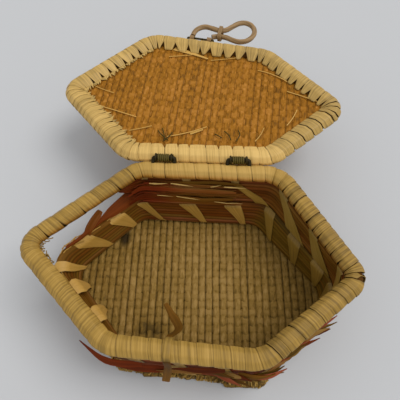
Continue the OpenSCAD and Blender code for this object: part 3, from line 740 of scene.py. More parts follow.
def pale_strip(colours):
    """Natural leaf strip, split and dried, in places aged to olive: straight veins and a soft gleam."""
    return plant("leaf_strip_natural", colours.strip, 1.3, 30, 0.5, 0.2, dye=colours.olive, contrast=1.1)


def coil_leaf(colours):
    """Leaf bundled for the coils, partly dyed red: matt, with long streaks where the dye took unevenly."""
    return plant(
        "leaf_bundle_dyed", colours.natural, 1.2, 60, 0.62, 0.3, dye=colours.red, contrast=1.1, shine=0.12
    )


def straw_bundle(colours):
    """Straw bundled inside the rims: dull, brown and deeply ribbed, seen only between the wraps."""
    return plant(
        "straw_bundle_brown", colours.natural, 1.4, 50, 0.8, 0.4, dye=colours.red, contrast=0.6, shine=0.15
    )


def hinge_thread(colours):
    """Plant thread, spun and waxed: dark olive with small glints on each turn."""
    return plant("spun_thread_waxed", colours.thread, 0.4, 3, 0.45, 0.1, contrast=0.7, shine=0.2)


def loop_straw(colours):
    """Straw twisted by hand into a cord: smooth, a little glossy, with the lay of the twist just showing."""
    return plant("straw_cord_twisted", colours.rope, 0.7, 20, 0.5, 0.15, contrast=0.5)


# Pieces


def wave(angle):
    """A wave with broad tops, as a straw makes over and under its neighbours."""
    s = np.sin(angle)
    return s * (1.25 - 0.25 * s ** 2)


def patches(points, spots):
    """Change of tone at points from soft round spots given in millimetres."""
    total = np.zeros(points.shape[:-1])
    for x, y, radius, change in spots:
        near = np.exp(-np.sum((points[..., :2] - np.array([x, y]) * MM) ** 2, axis=-1) / (radius * MM) ** 2)
        total += change * near
    return total


def weave(sizes, corners, height, ragged, seed, move, spots, weft_light, groove_shade_and_dirt, stain=None):
    """Straws front to back and straws across them, woven over and under inside an outline.

    ragged is how far the ends of the long straws stray, groove_shade_and_dirt the painted shade and dirt in
    the grooves between them, and stain a dark spot.
    """
    rng = np.random.default_rng(seed)
    warp, weft = Work(), Work()
    rise = WEAVE_RISE * MM
    step_x, step_y = sizes.straw_pitch, sizes.weft_pitch
    angle = 2 * np.pi * np.arange(10) / 10
    c, s = np.cos(angle), np.sin(angle)
    # Draws for all straws or cells in a row, counted from the middle of the mat
    draws, centre = 200, 100

    def add(work, line, across, half_w, half_t, tone, edges, dirt_and_shade):
        """One straw along a line, flat across it and worn narrow at its ends, with dirt and painted shade
        along its edges.
        """
        count = len(line)
        lens = across * (c * half_w)[:, None]
        lens = lens + np.array([0, 0, 1]) * (np.sign(s) * np.abs(s) ** 0.7 * half_t)[:, None]
        worn = np.interp(np.arange(count), (0, 2, count - 3, count - 1), (0.6, 1, 1, 0.6))
        moved = move(line[:, None] + worn[:, None, None] * lens)
        edge = np.select([c > 0.95, c < -0.95], edges[::-1], 0.0)
        darkening = np.clip(edge * (1 + drift(rng, count, 5, 0.35))[:, None], dirt_and_shade[:, None], 0.95)
        if stain:
            off = (moved[..., :2] - np.array(stain[:2]) * MM) / (np.array(stain[2:]) * MM)
            darkening = np.maximum(darkening, 0.95 * np.clip(1.6 - np.linalg.norm(off, axis=-1), 0, 1))
        round_ = 2 * (half_w + half_t) * np.arange(11) / 10 + rng.uniform(0, 1)
        # Painted highlight: lighter along its middle than along its edges
        shade = tone[:, None] + 0.2 * (s ** 2 - 0.5) + patches(moved, spots)
        work.tube(moved, round_, distances(line) + rng.uniform(0, 1), shade, 0.0, darkening)

    # Dirt and painted shade in the grooves between the long straws, stronger in some
    grooves = groove_shade_and_dirt * rng.uniform(0.3, 1, draws)
    for i in range(math.ceil(corners[:, 0].min() / step_x), math.floor(corners[:, 0].max() / step_x) + 1):
        x = i * step_x
        front, back = span(corners, x)
        if back - front > 4 * MM:
            front, back = front + ragged * rng.uniform(-1, 0.4), back - ragged * rng.uniform(-1, 0.4)
            y = np.linspace(front, back, max(6, int((back - front) / step_y * 5)))
            over = wave(np.pi * (y / step_y + i))
            line = np.column_stack([x + drift(rng, len(y), 12, 0.2 * MM), y, height + rise * over])
            cells = rng.normal(0, 0.06, draws)[np.floor(y / step_y).astype(int) + centre]
            # Painted highlight and shade: lighter where it lies on top, darker where it dips under
            tone = 0.47 + rng.normal(0, 0.07) + cells + 0.13 * over
            edges = grooves[i + centre], grooves[i + centre + 1]
            half = 0.475 * step_x * rng.uniform(0.95, 1.02)
            add(warp, line, np.array([1.0, 0, 0]), half, LONG_HALF * MM, tone, edges, 0 * y)
    for j in range(math.floor(corners[:, 1].min() / step_y), math.ceil(corners[:, 1].max() / step_y)):
        y = (j + 0.5) * step_y
        left, right = span(corners[:, ::-1], y)
        if right - left > 5 * MM:
            left, right = left + 1 * MM, right - 1 * MM
            x = np.linspace(left, right, max(6, int((right - left) / step_x * 10)))
            cell = x / step_x + 0.5
            seam = np.round(cell).astype(int)
            valley = np.exp(-((cell - seam) * step_x / (0.45 * MM)) ** 2)
            over = -(-1) ** j * wave(np.pi * cell)
            z = height + rise * over - 0.7 * MM * valley
            line = np.column_stack([x, y + drift(rng, len(x), 10, 0.15 * MM), z])
            cells = rng.normal(0, 0.06, draws)[np.floor(cell).astype(int) + centre]
            # Painted highlight and shade, as on the long straws
            tone = 0.46 + weft_light + rng.normal(0, 0.04) + cells + 0.08 * over
            # Painted shade and dirt in the valleys between the long straws
            darkening = valley * grooves[seam + centre]
            add(weft, line, np.array([0, 1.0, 0]), 0.54 * step_y, ACROSS_HALF * MM, tone, (0.12, 0.12), darkening)
    return warp, weft


def coil_bundle(way, height, section, first, last, closed, lights, dyes, seed):
    """A bundle of leaves on edge, run along a way in tiers with a groove between each two."""
    rng = np.random.default_rng(seed)
    work = Work()
    n, z, out_n, out_z = section.at(np.arange(72) / 72)
    s = np.linspace(first, last, int((last - first) / (3 * MM)) + 1)
    s = s[:-1] if closed else s
    tiers = np.ptp(z) * np.array([-0.5, -0.37, -0.24, -0.12, 0.0, 0.13, 0.26, 0.38])
    groove = np.max(np.exp(-((z - tiers[:, None]) / (0.45 * MM)) ** 2), axis=0)
    lift = np.zeros((len(s), len(n)))
    tone, dye = (way.shared(values, s)[:, None] + lift for values in (lights, dyes))
    # Each tier is a leaf of its own, with its own tone and dye
    for low, high in zip(tiers, np.append(tiers[1:], np.inf)):
        own = ((z > low) & (z <= high))[None]
        lift = lift + own * drift(rng, len(s), 14, 0.22 * MM)[:, None]
        tone = tone + own * (rng.normal(0, 0.1) + drift(rng, len(s), 16, 0.1)[:, None])
        dye = dye + own * (rng.normal(0, 0.1) + drift(rng, len(s), 16, 0.1)[:, None])
    lift = np.clip(lift, -0.5 * MM, 0.35 * MM) - 0.4 * MM * groove[None]
    # Painted shade in the grooves between the tiers
    torn, darkening = 1.0, 0.55 * groove
    if not closed:
        # Its ends have torn away below, and it is darkened with painted shade where it stands on the coil
        # below
        fade = 18 * MM
        torn = np.interp(s, (first, first + fade, last - fade, last), (0.1, 1, 1, 0.1))[:, None]
        darkening = np.maximum(darkening, 0.95 * np.exp(-((z - z.min() - 1.6 * MM) / (1.7 * MM)) ** 2))
    rings = way.at(s[:, None], n + out_n * lift, height + z.max() - (z.max() - z) * torn + out_z * lift)
    inner = 1 / (1 + np.exp((n - 2 * MM) / (0.5 * MM)))
    dye = dye * inner + way.shared(OUTER_DYE, s)[:, None] * (1 - inner)
    round_ = np.linspace(0, section.round, len(n) + 1)
    work.tube(rings, round_, s - s[0], np.clip(tone, 0.1, 0.95), np.clip(dye, 0, 1), darkening[None], closed)
    return work


def wind(work, way, height, section, share, edges, lifts, thick, tone, rng, dye, stand=0.0):
    """Winds a leaf strip round a way.

    share counts turns round the section, and edges are the strip's two edges along the way. lifts are the
    heights over the section of its left edge, its middle and its right edge, and stand is how far it stands
    off the section besides.
    """
    left, right = edges
    n, z, out_n, out_z = (v[:, None] for v in section.at(share))
    # Seven points over the top and three below, as in a leaf
    u = np.array([-1, -0.9, -0.45, 0, 0.45, 0.9, 1, 0.9, 0, -0.9])
    top = np.arange(10) < 7
    lift = np.interp(u, (-1, 0, 1), lifts) - np.where(top, 0.1 * MM * np.abs(u) ** 6, thick)
    lift = lift[None] + np.where(top, u, 0)[None] * drift(rng, len(share), 24, 0.08 * MM)[:, None]
    lift = lift + np.reshape(stand, (-1, 1))
    s = left[:, None] + (right - left)[:, None] * (u[None] + 1) / 2
    rings = way.at(s, n + out_n * lift, height + z + out_z * lift)
    # Dirt and painted shade along both edges where the wraps lap, and painted shade on the underside
    edge = np.where(np.abs(u) == 1, 0.5, np.where(top, 0.0, 0.8))
    darkening = edge[None] * np.clip(0.7 + drift(rng, len(share), 10, 0.35), 0.1, 1)[:, None]
    across = np.append(u, u[0]) * np.max(right - left) / 2
    work.tube(rings, across, distances(rings[:, 3]) + rng.uniform(0, 1), tone, dye, darkening)


def seams(way, side_pitches, bend_pitch, rng):
    """Places of the seams between wraps all round, and the number of the first on each side and bend."""
    # Round the four blunt bends they are half as wide again as round the two sharp ones
    bend_pitches = bend_pitch * np.where(np.arange(6) % 3 == 1, 1, 1.5)
    places, firsts = [], []
    for k, pitch in enumerate(np.column_stack([side_pitches, bend_pitches]).ravel()):
        run = way.marks[k + 1] - way.marks[k]
        turns = max(2, round(run / pitch))
        firsts.append(len(places))
        places += list(way.marks[k] + run * (np.arange(turns) + rng.uniform(-0.16, 0.16, turns)) / turns)
    return np.array(places), np.array(firsts + [len(places)])


def rim_wraps(way, height, sizes, looks, inner, material, body, move, lip=(0, 0), torn=None):
    """Leaf wraps all round a rim, one unbroken winding that is split into its sides and its bends.

    The wraps lap over each other like shingles. Along the inner edge that shows, 1 for the upper and -1 for
    the lower, they narrow to points. torn is a wrap that has worn through on the outside, by its bend.
    """
    rng = np.random.default_rng(SEEDS[f"{body}_rim"])
    lights, notches, gaps, spacings = looks
    section = Section(sizes.tube_w, sizes.tube_t, sizes.rim_chamfer, 0.8 * MM, lip)
    places, firsts = seams(way, sizes.wrap_pitch * np.array(spacings), sizes.bend_pitch, rng)
    count = len(places)
    counted = np.arange(-1, count + 3)
    spread = places[counted % count] + way.length * (counted // count)
    own = rng.normal(0, 0.06, count)
    points = rng.uniform(0.3, 1, count)
    tips = rng.uniform(0.25, 0.75, count)
    # How far a turn has advanced at corners of the section, most of it on the side that is hidden while the
    # lid lies open, and where a wrap narrows and has browned
    if inner > 0:
        advance = (0, 5, 7.8), (0, 0.3, 1)
        narrow = (3.4, 4.2, 5, 5.4), (0, 1, 1, 0)
    else:
        advance = (0, 1, 4, 7.8), (0, 0.12, 0.8, 1)
        narrow = (3.4, 3.8, 5, 5.9), (0, 1, 1, 0)
    browned = (3.5, 4.1, 6, 6.4), (0, 1, 1, 0)
    advance, narrow, browned = (
        ([section.corner(c) for c in corners], values) for corners, values in (advance, narrow, browned)
    )
    tuck, laps = 0.5 * MM, (rng.uniform(-0.3, 0.7, count) - way.shared(gaps, places)) * MM

    def add(work, k):
        """Adds the turns of one side or bend."""
        tau = np.linspace(firsts[k], firsts[k + 1], (firsts[k + 1] - firsts[k]) * 40 + 1)
        index = np.minimum(np.floor(tau).astype(int), count - 1)
        turn = tau - index
        place_ = index + np.interp(turn, *advance)
        left, right = np.interp(place_, counted, spread), np.interp(place_ + 1, counted, spread)
        taper = np.interp(turn, *narrow) * way.shared(notches, left) * points[index]
        if k == torn:
            worn = np.interp(turn, (0.02, 0.08, 0.24, 0.3), (0, 1, 1, 0)) * (index == firsts[k] + 1)
            taper = np.maximum(taper, 0.8 * worn)
        width = right - left
        brown = np.interp(turn, *browned) * (inner > 0) * way.shared(BROWNED, left)
        tone = way.shared(lights, left) + own[index] - 0.2 * brown
        edges = (
            left - tuck + width * taper * tips[index],
            right + laps[index] - width * taper * (1 - tips[index]),
        )
        lifts = (-0.35 * MM, 0, 0.06 * MM)
        wind(work, way, height, section, tau, edges, lifts, 0.45 * MM, tone, rng, 0.8 * brown)

    for side, name in enumerate(SIDES):
        work = Work()
        add(work, 2 * side)
        place(work.moved(move), f"{body}_leaf_{name}", material, body, "leaf_wrap", f"{body}_wrap_{name}")
    work = Work()
    for k in range(1, 12, 2):
        add(work, k)
    place(work.moved(move), f"{body}_leaf_bends", material, body, "leaf_wrap", f"{body}_wrap_corners")


def rim_bundle(way, height, sizes):
    """The straw bundle inside a rim, seen between the wraps."""
    work = Work()
    inset = 2.4 * MM
    section = Section(sizes.tube_w - inset, sizes.tube_t - inset, sizes.rim_chamfer - 0.7 * MM, 0.8 * MM)
    n, z, _, _ = section.at(np.arange(40) / 40)
    s = np.linspace(0, way.length, int(way.length / (4 * MM)))[:-1]
    ridge = 1 - 0.05 * (np.arange(40) % 4 == 0)
    rings = way.at(s[:, None], n * ridge, height + z * ridge)
    # Darkened all over with painted shade, for the gaps between the wraps where alone it shows
    work.tube(rings, np.linspace(0, section.round, 41), s, 0.35, 0.4, 0.5, True)
    return work


class BASKET_OT_stage(bpy.types.Operator):
    """Add the table, the light and the camera"""

    bl_idname = "basket.stage"
    bl_label = "Stage"

    def execute(self, context):
        scene = context.scene
        scene.view_settings.view_transform = "Standard"
        self.camera(scene)
        self.table(scene)
        self.light(scene)
        return {"FINISHED"}

    def camera(self, scene):
        """The photograph's view."""
        data = bpy.data.cameras.new("view")
        data.sensor_width = SENSOR
        data.lens = SENSOR * LENS_PIXELS / FRAME_PIXELS
        made = bpy.data.objects.new("view", data)
        scene.collection.objects.link(made)
        yaw, pitch, roll = (math.radians(a) for a in CAMERA_TURN)
        level = math.cos(pitch)
        forward = np.array([math.sin(yaw) * level, math.cos(yaw) * level, -math.sin(pitch)])
        right = np.array([math.cos(yaw), -math.sin(yaw), 0])
        down = np.cross(forward, right)
        across = right * math.cos(roll) + down * math.sin(roll)
        up = right * math.sin(roll) - down * math.cos(roll)
        stand = np.array(CAMERA_PLACE) * MM
        rows = np.column_stack([across, up, -forward, stand]).tolist()
        made.matrix_world = Matrix([*rows, (0, 0, 0, 1)])
        scene.camera = made

    def table(self, scene):
        """The plain pale top of a table."""
        mesh = bpy.data.meshes.new("table")
        half = TABLE_HALF
        corners = [(-half, -half, 0), (half, -half, 0), (half, half, 0), (-half, half, 0)]
        mesh.from_pydata(corners, [], [(0, 1, 2, 3)])
        made = bpy.data.objects.new("table", mesh)
        scene.collection.objects.link(made)
        # Painted board, rolled: pale, even and matt
        board = bpy.data.materials.new("painted_board_pale")
        board.use_nodes = True
        shader = board.node_tree.nodes["Principled BSDF"]
        shader.inputs["Base Color"].default_value = (*scene.basket_colours.table, 1)
        shader.inputs["Roughness"].default_value = 0.9
        shader.inputs["Specular IOR Level"].default_value = 0.1
        mesh.materials.append(board)

    def light(self, scene):
        """Soft light all round and a broad one from the right, which together light the table as written."""
        world = bpy.data.worlds.new("room")
        world.use_nodes = True
        background = world.node_tree.nodes["Background"]
        background.inputs["Color"].default_value = (*ROOM_COLOUR, 1)
        background.inputs["Strength"].default_value = ROOM_LIGHT
        scene.world = world
        lamp = bpy.data.lights.new("window", "SUN")
        lamp.angle = math.radians(WINDOW_BREADTH)
        lamp.energy = WINDOW_LIGHT
        lamp.color = WINDOW_COLOUR
        made = bpy.data.objects.new("window", lamp)
        scene.collection.objects.link(made)
        made.rotation_mode = "QUATERNION"
        made.rotation_quaternion = Vector(WINDOW_WAY).to_track_quat("-Z", "Y")


class BASKET_OT_closing_loop(bpy.types.Operator):
    """Add the twisted straw loop on the lid's front, its band, its eyes and its staple"""

    bl_idname = "basket.closing_loop"
    bl_label = "Closing loop"

    def execute(self, context):
        form, sizes, colours = basket(context)
        straw = loop_straw(colours)
        path = form.by_loop(smooth(LOOP_ROUTE, 10))
        work = Work()
        strand(work, path, sizes.loop_d / 2, 0.5, 20, 3, 22 * MM)
        cord = place(work, "loop_cord", straw, "closing_loop", "straw_rope", "closure_loop")

        # Each eye is four turns of the same straw round the staple, and the band three turns round both sides
        work = Work()
        *turns, half = LOOP_EYE
        for end in (-EYE_PLACE, EYE_PLACE):
            strand(work, form.by_loop(coil(end, *turns) + (0, EYE_OUT, 0)), half * MM, 0.45)
        eyes = place(work, "loop_eye_turns", straw, "closing_loop", "straw_rope", "loop_eye")
        u, v, w, half_v, half_w, r = BAND
        turn = np.linspace(0, 3, 121)
        c, s = np.cos(2 * np.pi * turn), np.sin(2 * np.pi * turn)
        across = v + np.clip(5 * c, -1, 1) * half_v + r * c
        up = w + np.clip(5 * s, -1, 1) * half_w + r * s
        work = Work()
        strand(work, form.by_loop(np.column_stack([u - 1.5 + turn, across, up])), 0.62 * MM, 0.42)
        band = place(work, "loop_band_turns", straw, "closing_loop", "straw_rope", "loop_band")

        staple = [*STAPLE_HALF, (0, EYE_OUT, 0), *((-x, y, z) for x, y, z in STAPLE_HALF[::-1])]
        work = Work()
        strand(work, form.by_loop(smooth(staple, 8)), 0.85 * MM, 0.2, 12, 2, 4 * MM, 0.4)
        place(work, "loop_staple_thread", hinge_thread(colours), "lid", "hinge_thread", "loop_staple")
        return {"FINISHED"}


class BASKET_OT_floor_mat(bpy.types.Operator):
    """Weave the straw floor"""

    bl_idname = "basket.floor_mat"
    bl_label = "Floor mat"

    def execute(self, context):
        form, sizes, colours = basket(context)
        warp, weft = weave(
            sizes, turned(form.floor, -FLOOR_TURN), sizes.straw_t / 2, 1 * MM, SEEDS["floor"],
            lambda p: turned(p, FLOOR_TURN), FLOOR_PATCHES, 0.0, 0.9, FLOOR_SPOT,
        )
        place(warp, "floor_straws_long", floor_straw(colours), "base", "floor_straw", "floor_straws")
        # The straws across are worn smoother
        place(weft, "floor_straws_across", floor_straw(colours, "smooth"), "base", "floor_straw")
        place(self.fringe(form), "floor_fringe", base_leaf(colours), "base", "floor_straw")
        return {"FINISHED"}

    def fringe(self, form):
        """Split straw ends that curl out along the edge of the mat."""
        rng = np.random.default_rng(SEEDS["fringe"])
        work = Work()
        way = Way(form.floor, 6 * MM)
        for s in np.arange(0, way.length, 0.8 * MM):
            run = s + np.array([0, 0.5, 1]) * rng.normal(0, 3) * MM
            out = np.array([-2.5, rng.uniform(-0.4, 0.8), rng.uniform(-0.8, 1)]) * MM
            z = np.array([rng.uniform(2.4, 3.6), rng.uniform(1, 4), rng.uniform(0.5, 3.6)]) * MM
            path = smooth(way.at(run, out, z), 3)
            radius, tone = rng.uniform(0.35, 0.55) * MM, rng.uniform(0.2, 0.7)
            strand(work, path, radius, tone, 6, dirt_and_shade=rng.choice((0, 0.1, 0.7)))
        return work


class BASKET_OT_lid_mat(bpy.types.Operator):
    """Weave the straw panel of the lid"""

    bl_idname = "basket.lid_mat"
    bl_label = "Lid mat"

    def execute(self, context):
        form, sizes, colours = basket(context)
        # The ends of the straws reach in under the wraps
        corners = moved_out(form.lid, np.full(6, 3.6 * MM - sizes.tube_w / 2))
        warp, weft = weave(
            sizes, turned(corners, -LID_TURN), form.mat_z, 0, SEEDS["lid"],
            lambda p: form.laid_open(turned(p, LID_TURN)), LID_PATCHES, 0.06, 0.72,
        )
        place(warp, "lid_straws_long", lid_straw(colours), "lid", "lid_straw", "lid_straws")
        # The straws across are worn smoother
        place(weft, "lid_straws_across", lid_straw(colours, "smooth"), "lid", "lid_straw")
        return {"FINISHED"}


class BASKET_OT_wall_coils(bpy.types.Operator):
    """Add the two leaf coils of the wall"""

    bl_idname = "basket.wall_coils"
    bl_label = "Wall coils"

    def execute(self, context):
        form, sizes, colours = basket(context)
        section = Section(sizes.coil_t - 1.4 * MM, sizes.coil_h + 0.2 * MM, 2 * MM, 0.9 * MM)
        coils = (
            ("lower", form.lower_wall, form.lower_z, 0, form.lower_wall.length, LOWER_LIGHT, LOWER_DYE),
            ("upper", form.upper_wall, form.upper_z, form.upper_from, form.upper_to, UPPER_LIGHT, UPPER_DYE),
        )
        for name, wall, height, first, last, lights, dyes in coils:
            closed, seed = name == "lower", SEEDS[f"{name}_coil"]
            work = coil_bundle(wall, height, section, first, last, closed, lights, dyes, seed)
            place(work, f"{name}_coil_leaves", coil_leaf(colours), "base", "red_leaf", f"{name}_coil_core")
        return {"FINISHED"}


class BASKET_OT_coil_strips(bpy.types.Operator):
    """Wind the pale strips round the coils"""

    bl_idname = "basket.coil_strips"
    bl_label = "Coil strips"

    def execute(self, context):
        form, sizes, colours = basket(context)
        walls = (
            ("lower", form.lower_wall, form.lower_z, LOWER_PLACES, LOWER_STRIP, LOWER_SLANT),
            ("upper", form.upper_wall, form.upper_z, UPPER_PLACES, UPPER_STRIP, UPPER_SLANT),
        )
        strip = pale_strip(colours)
        section = Section(sizes.coil_t, sizes.coil_h, 2.5 * MM, 0.7 * MM)
        start = section.corner(2)
        # Most of a turn's advance is made on a slant down the inner face and up the outer one
        corners = [section.corner(k) - start for k in (2, 4, 5, 7)] + [1]
        for name, wall, height, places, (lights, olives, widths, stands), (advance, halves) in walls:
            rng = np.random.default_rng(SEEDS[f"{name}_strip"])
            turns = len(places)
            tau = np.linspace(0, turns, turns * 48 + 1)
            whole = np.minimum(np.floor(tau), turns - 1)
            turn = tau - whole
            # The share of a turn at which the strip crosses the middle of the inner face
            knots = np.arange(-1, turns + 1) + (advance[1] + advance[2]) / 2
            before, after = 2 * places[0] - places[1], 2 * places[-1] - places[-2]
            crossings = np.array([before, *places, after]) * MM
            middle = np.interp(whole + np.interp(turn, corners, advance), knots, crossings)
            half = sizes.strip_w / 2 * np.interp(turn, corners, halves)
            uneven = np.interp(tau, np.arange(turns + 1), rng.normal(0, 0.1, turns + 1))
            half = half * (wall.shared(widths, middle) + uneven)
            tone = wall.shared(lights, middle) + rng.normal(0, 0.08, turns)[whole.astype(int)]
            # On some sides it has come loose from the inner face
            loose = np.interp(turn, corners[:4], (0, 0.9, 0.7, 0))
            stand = loose * wall.shared(stands, middle) * MM
            work = Work()
            wind(
                work, wall, height, section, tau + start, (middle - half, middle + half), (0, 0.1 * MM, 0),
                0.6 * MM, tone, rng, wall.shared(olives, middle), stand,
            )
            place(work, f"{name}_coil_leaf_strip", strip, "base", "pale_strip", f"{name}_coil_strip")
        return {"FINISHED"}


class BASKET_OT_rims(bpy.types.Operator):
    """Add the straw bundles of the two rims and wind their leaf wraps"""

    bl_idname = "basket.rims"
    bl_label = "Rims"

    def execute(self, context):
        form, sizes, colours = basket(context)
        work = rim_bundle(form.rim_way, form.rim_z, sizes)
        place(work, "base_rim_straw", straw_bundle(colours), "base", "rim_core", "base_rim_core")
        work = rim_bundle(form.lid_way, form.lid_z, sizes).moved(form.laid_open)
        place(work, "lid_rim_straw", straw_bundle(colours), "lid", "rim_core", "lid_rim_core")
        rim_wraps(
            form.rim_way, form.rim_z, sizes, BASE_LOOKS, 1, base_leaf(colours), "base", lambda p: p, torn=3
        )
        rim_wraps(
            form.lid_way, form.lid_z, sizes, LID_LOOKS, -1, lid_leaf(colours), "lid", form.laid_open,
            [size * MM for size in LID_LIP],
        )
        place(self.points(form, sizes), "lid_leaf_points", lid_leaf(colours), "lid", "leaf_wrap")
        return {"FINISHED"}

    def points(self, form, sizes):
        """Torn points of the wraps that lie on the lid's mat round its left corner."""
        rng = np.random.default_rng(SEEDS["leaf_points"])
        work = Work()
        way = form.lid_way
        for s in np.arange(way.marks[8] - 6 * MM, way.marks[11] + 8 * MM, 2.4 * MM):
            reach = np.array([2.2, 3.2, rng.uniform(3.6, 6.4)]) * MM
            run = s + np.array([0, 0.3, 1]) * rng.normal(0, 0.9) * MM
            z = form.lid_z - np.array([0.95, 0.95, 0.7]) * MM
            path = smooth(way.at(run, -sizes.tube_w / 2 - reach, z), 4)
            taper = np.interp(np.arange(len(path)), (0, 4, len(path) - 1), (1, 0.9, 0.1))
            side = way.at(s + 1 * MM, 0, 0) - way.at(s, 0, 0)
            width = taper * rng.uniform(1.4, 3) * MM
            leaf(work, path, side, width, 0.4 * MM, rng.uniform(0.25, 0.7))
        return work.moved(form.laid_open)


class BASKET_OT_hinges(bpy.types.Operator):
    """Add the two thread hinges"""

    bl_idname = "basket.hinges"
    bl_label = "Hinges"

    def execute(self, context):
        form, sizes, colours = basket(context)
        for name, x in (("left", sizes.hinge_left), ("right", sizes.hinge_right)):
            self.hinge(colours, name, np.array([x, form.hinge_y, form.hinge_z]))
        return {"FINISHED"}

    def hinge(self, colours, name, middle):
        """One hinge: a cord with legs in the base rim, thread wound round it, and two eyes of the lid."""
        thread = hinge_thread(colours)

        def at(points):
            """Points in millimetres from the middle of the hinge."""
            return middle + np.asarray(points, float) * MM

        path = [*HINGE_HALF, (0, 0, 0), *((-x, y, z) for x, y, z in HINGE_HALF[::-1])]
        work = Work()
        # Painted shade: the cord is dark all over, as it shows only in the gaps between the turns
        strand(work, at(smooth(path, 10)), CORD_HALF * MM, 0.1, 14, 3, 6 * MM, 0.7)
        place(work, f"hinge_{name}_cord", thread, "base", "hinge_thread", f"hinge_cord_{name}")
        work = Work()
        *turns, half = HINGE_THREAD
        # The turns are painted lighter than the cord, as a painted highlight on the thread
        strand(work, at(coil(0, *turns)), half * MM, 0.7)
        place(work, f"hinge_{name}_turns", thread, "base", "hinge_thread", f"hinge_thread_{name}")
        work = Work()
        *turns, half = HINGE_EYE
        for end in HINGE_EYES:
            leg = smooth([(end, *point) for point in HINGE_LEG], 6)
            for line in (coil(end, *turns), leg):
                strand(work, at(line), half * MM, 0.15, dirt_and_shade=0.5)
        place(work, f"hinge_{name}_eyes", thread, "lid", "hinge_thread", f"hinge_eyes_{name}")


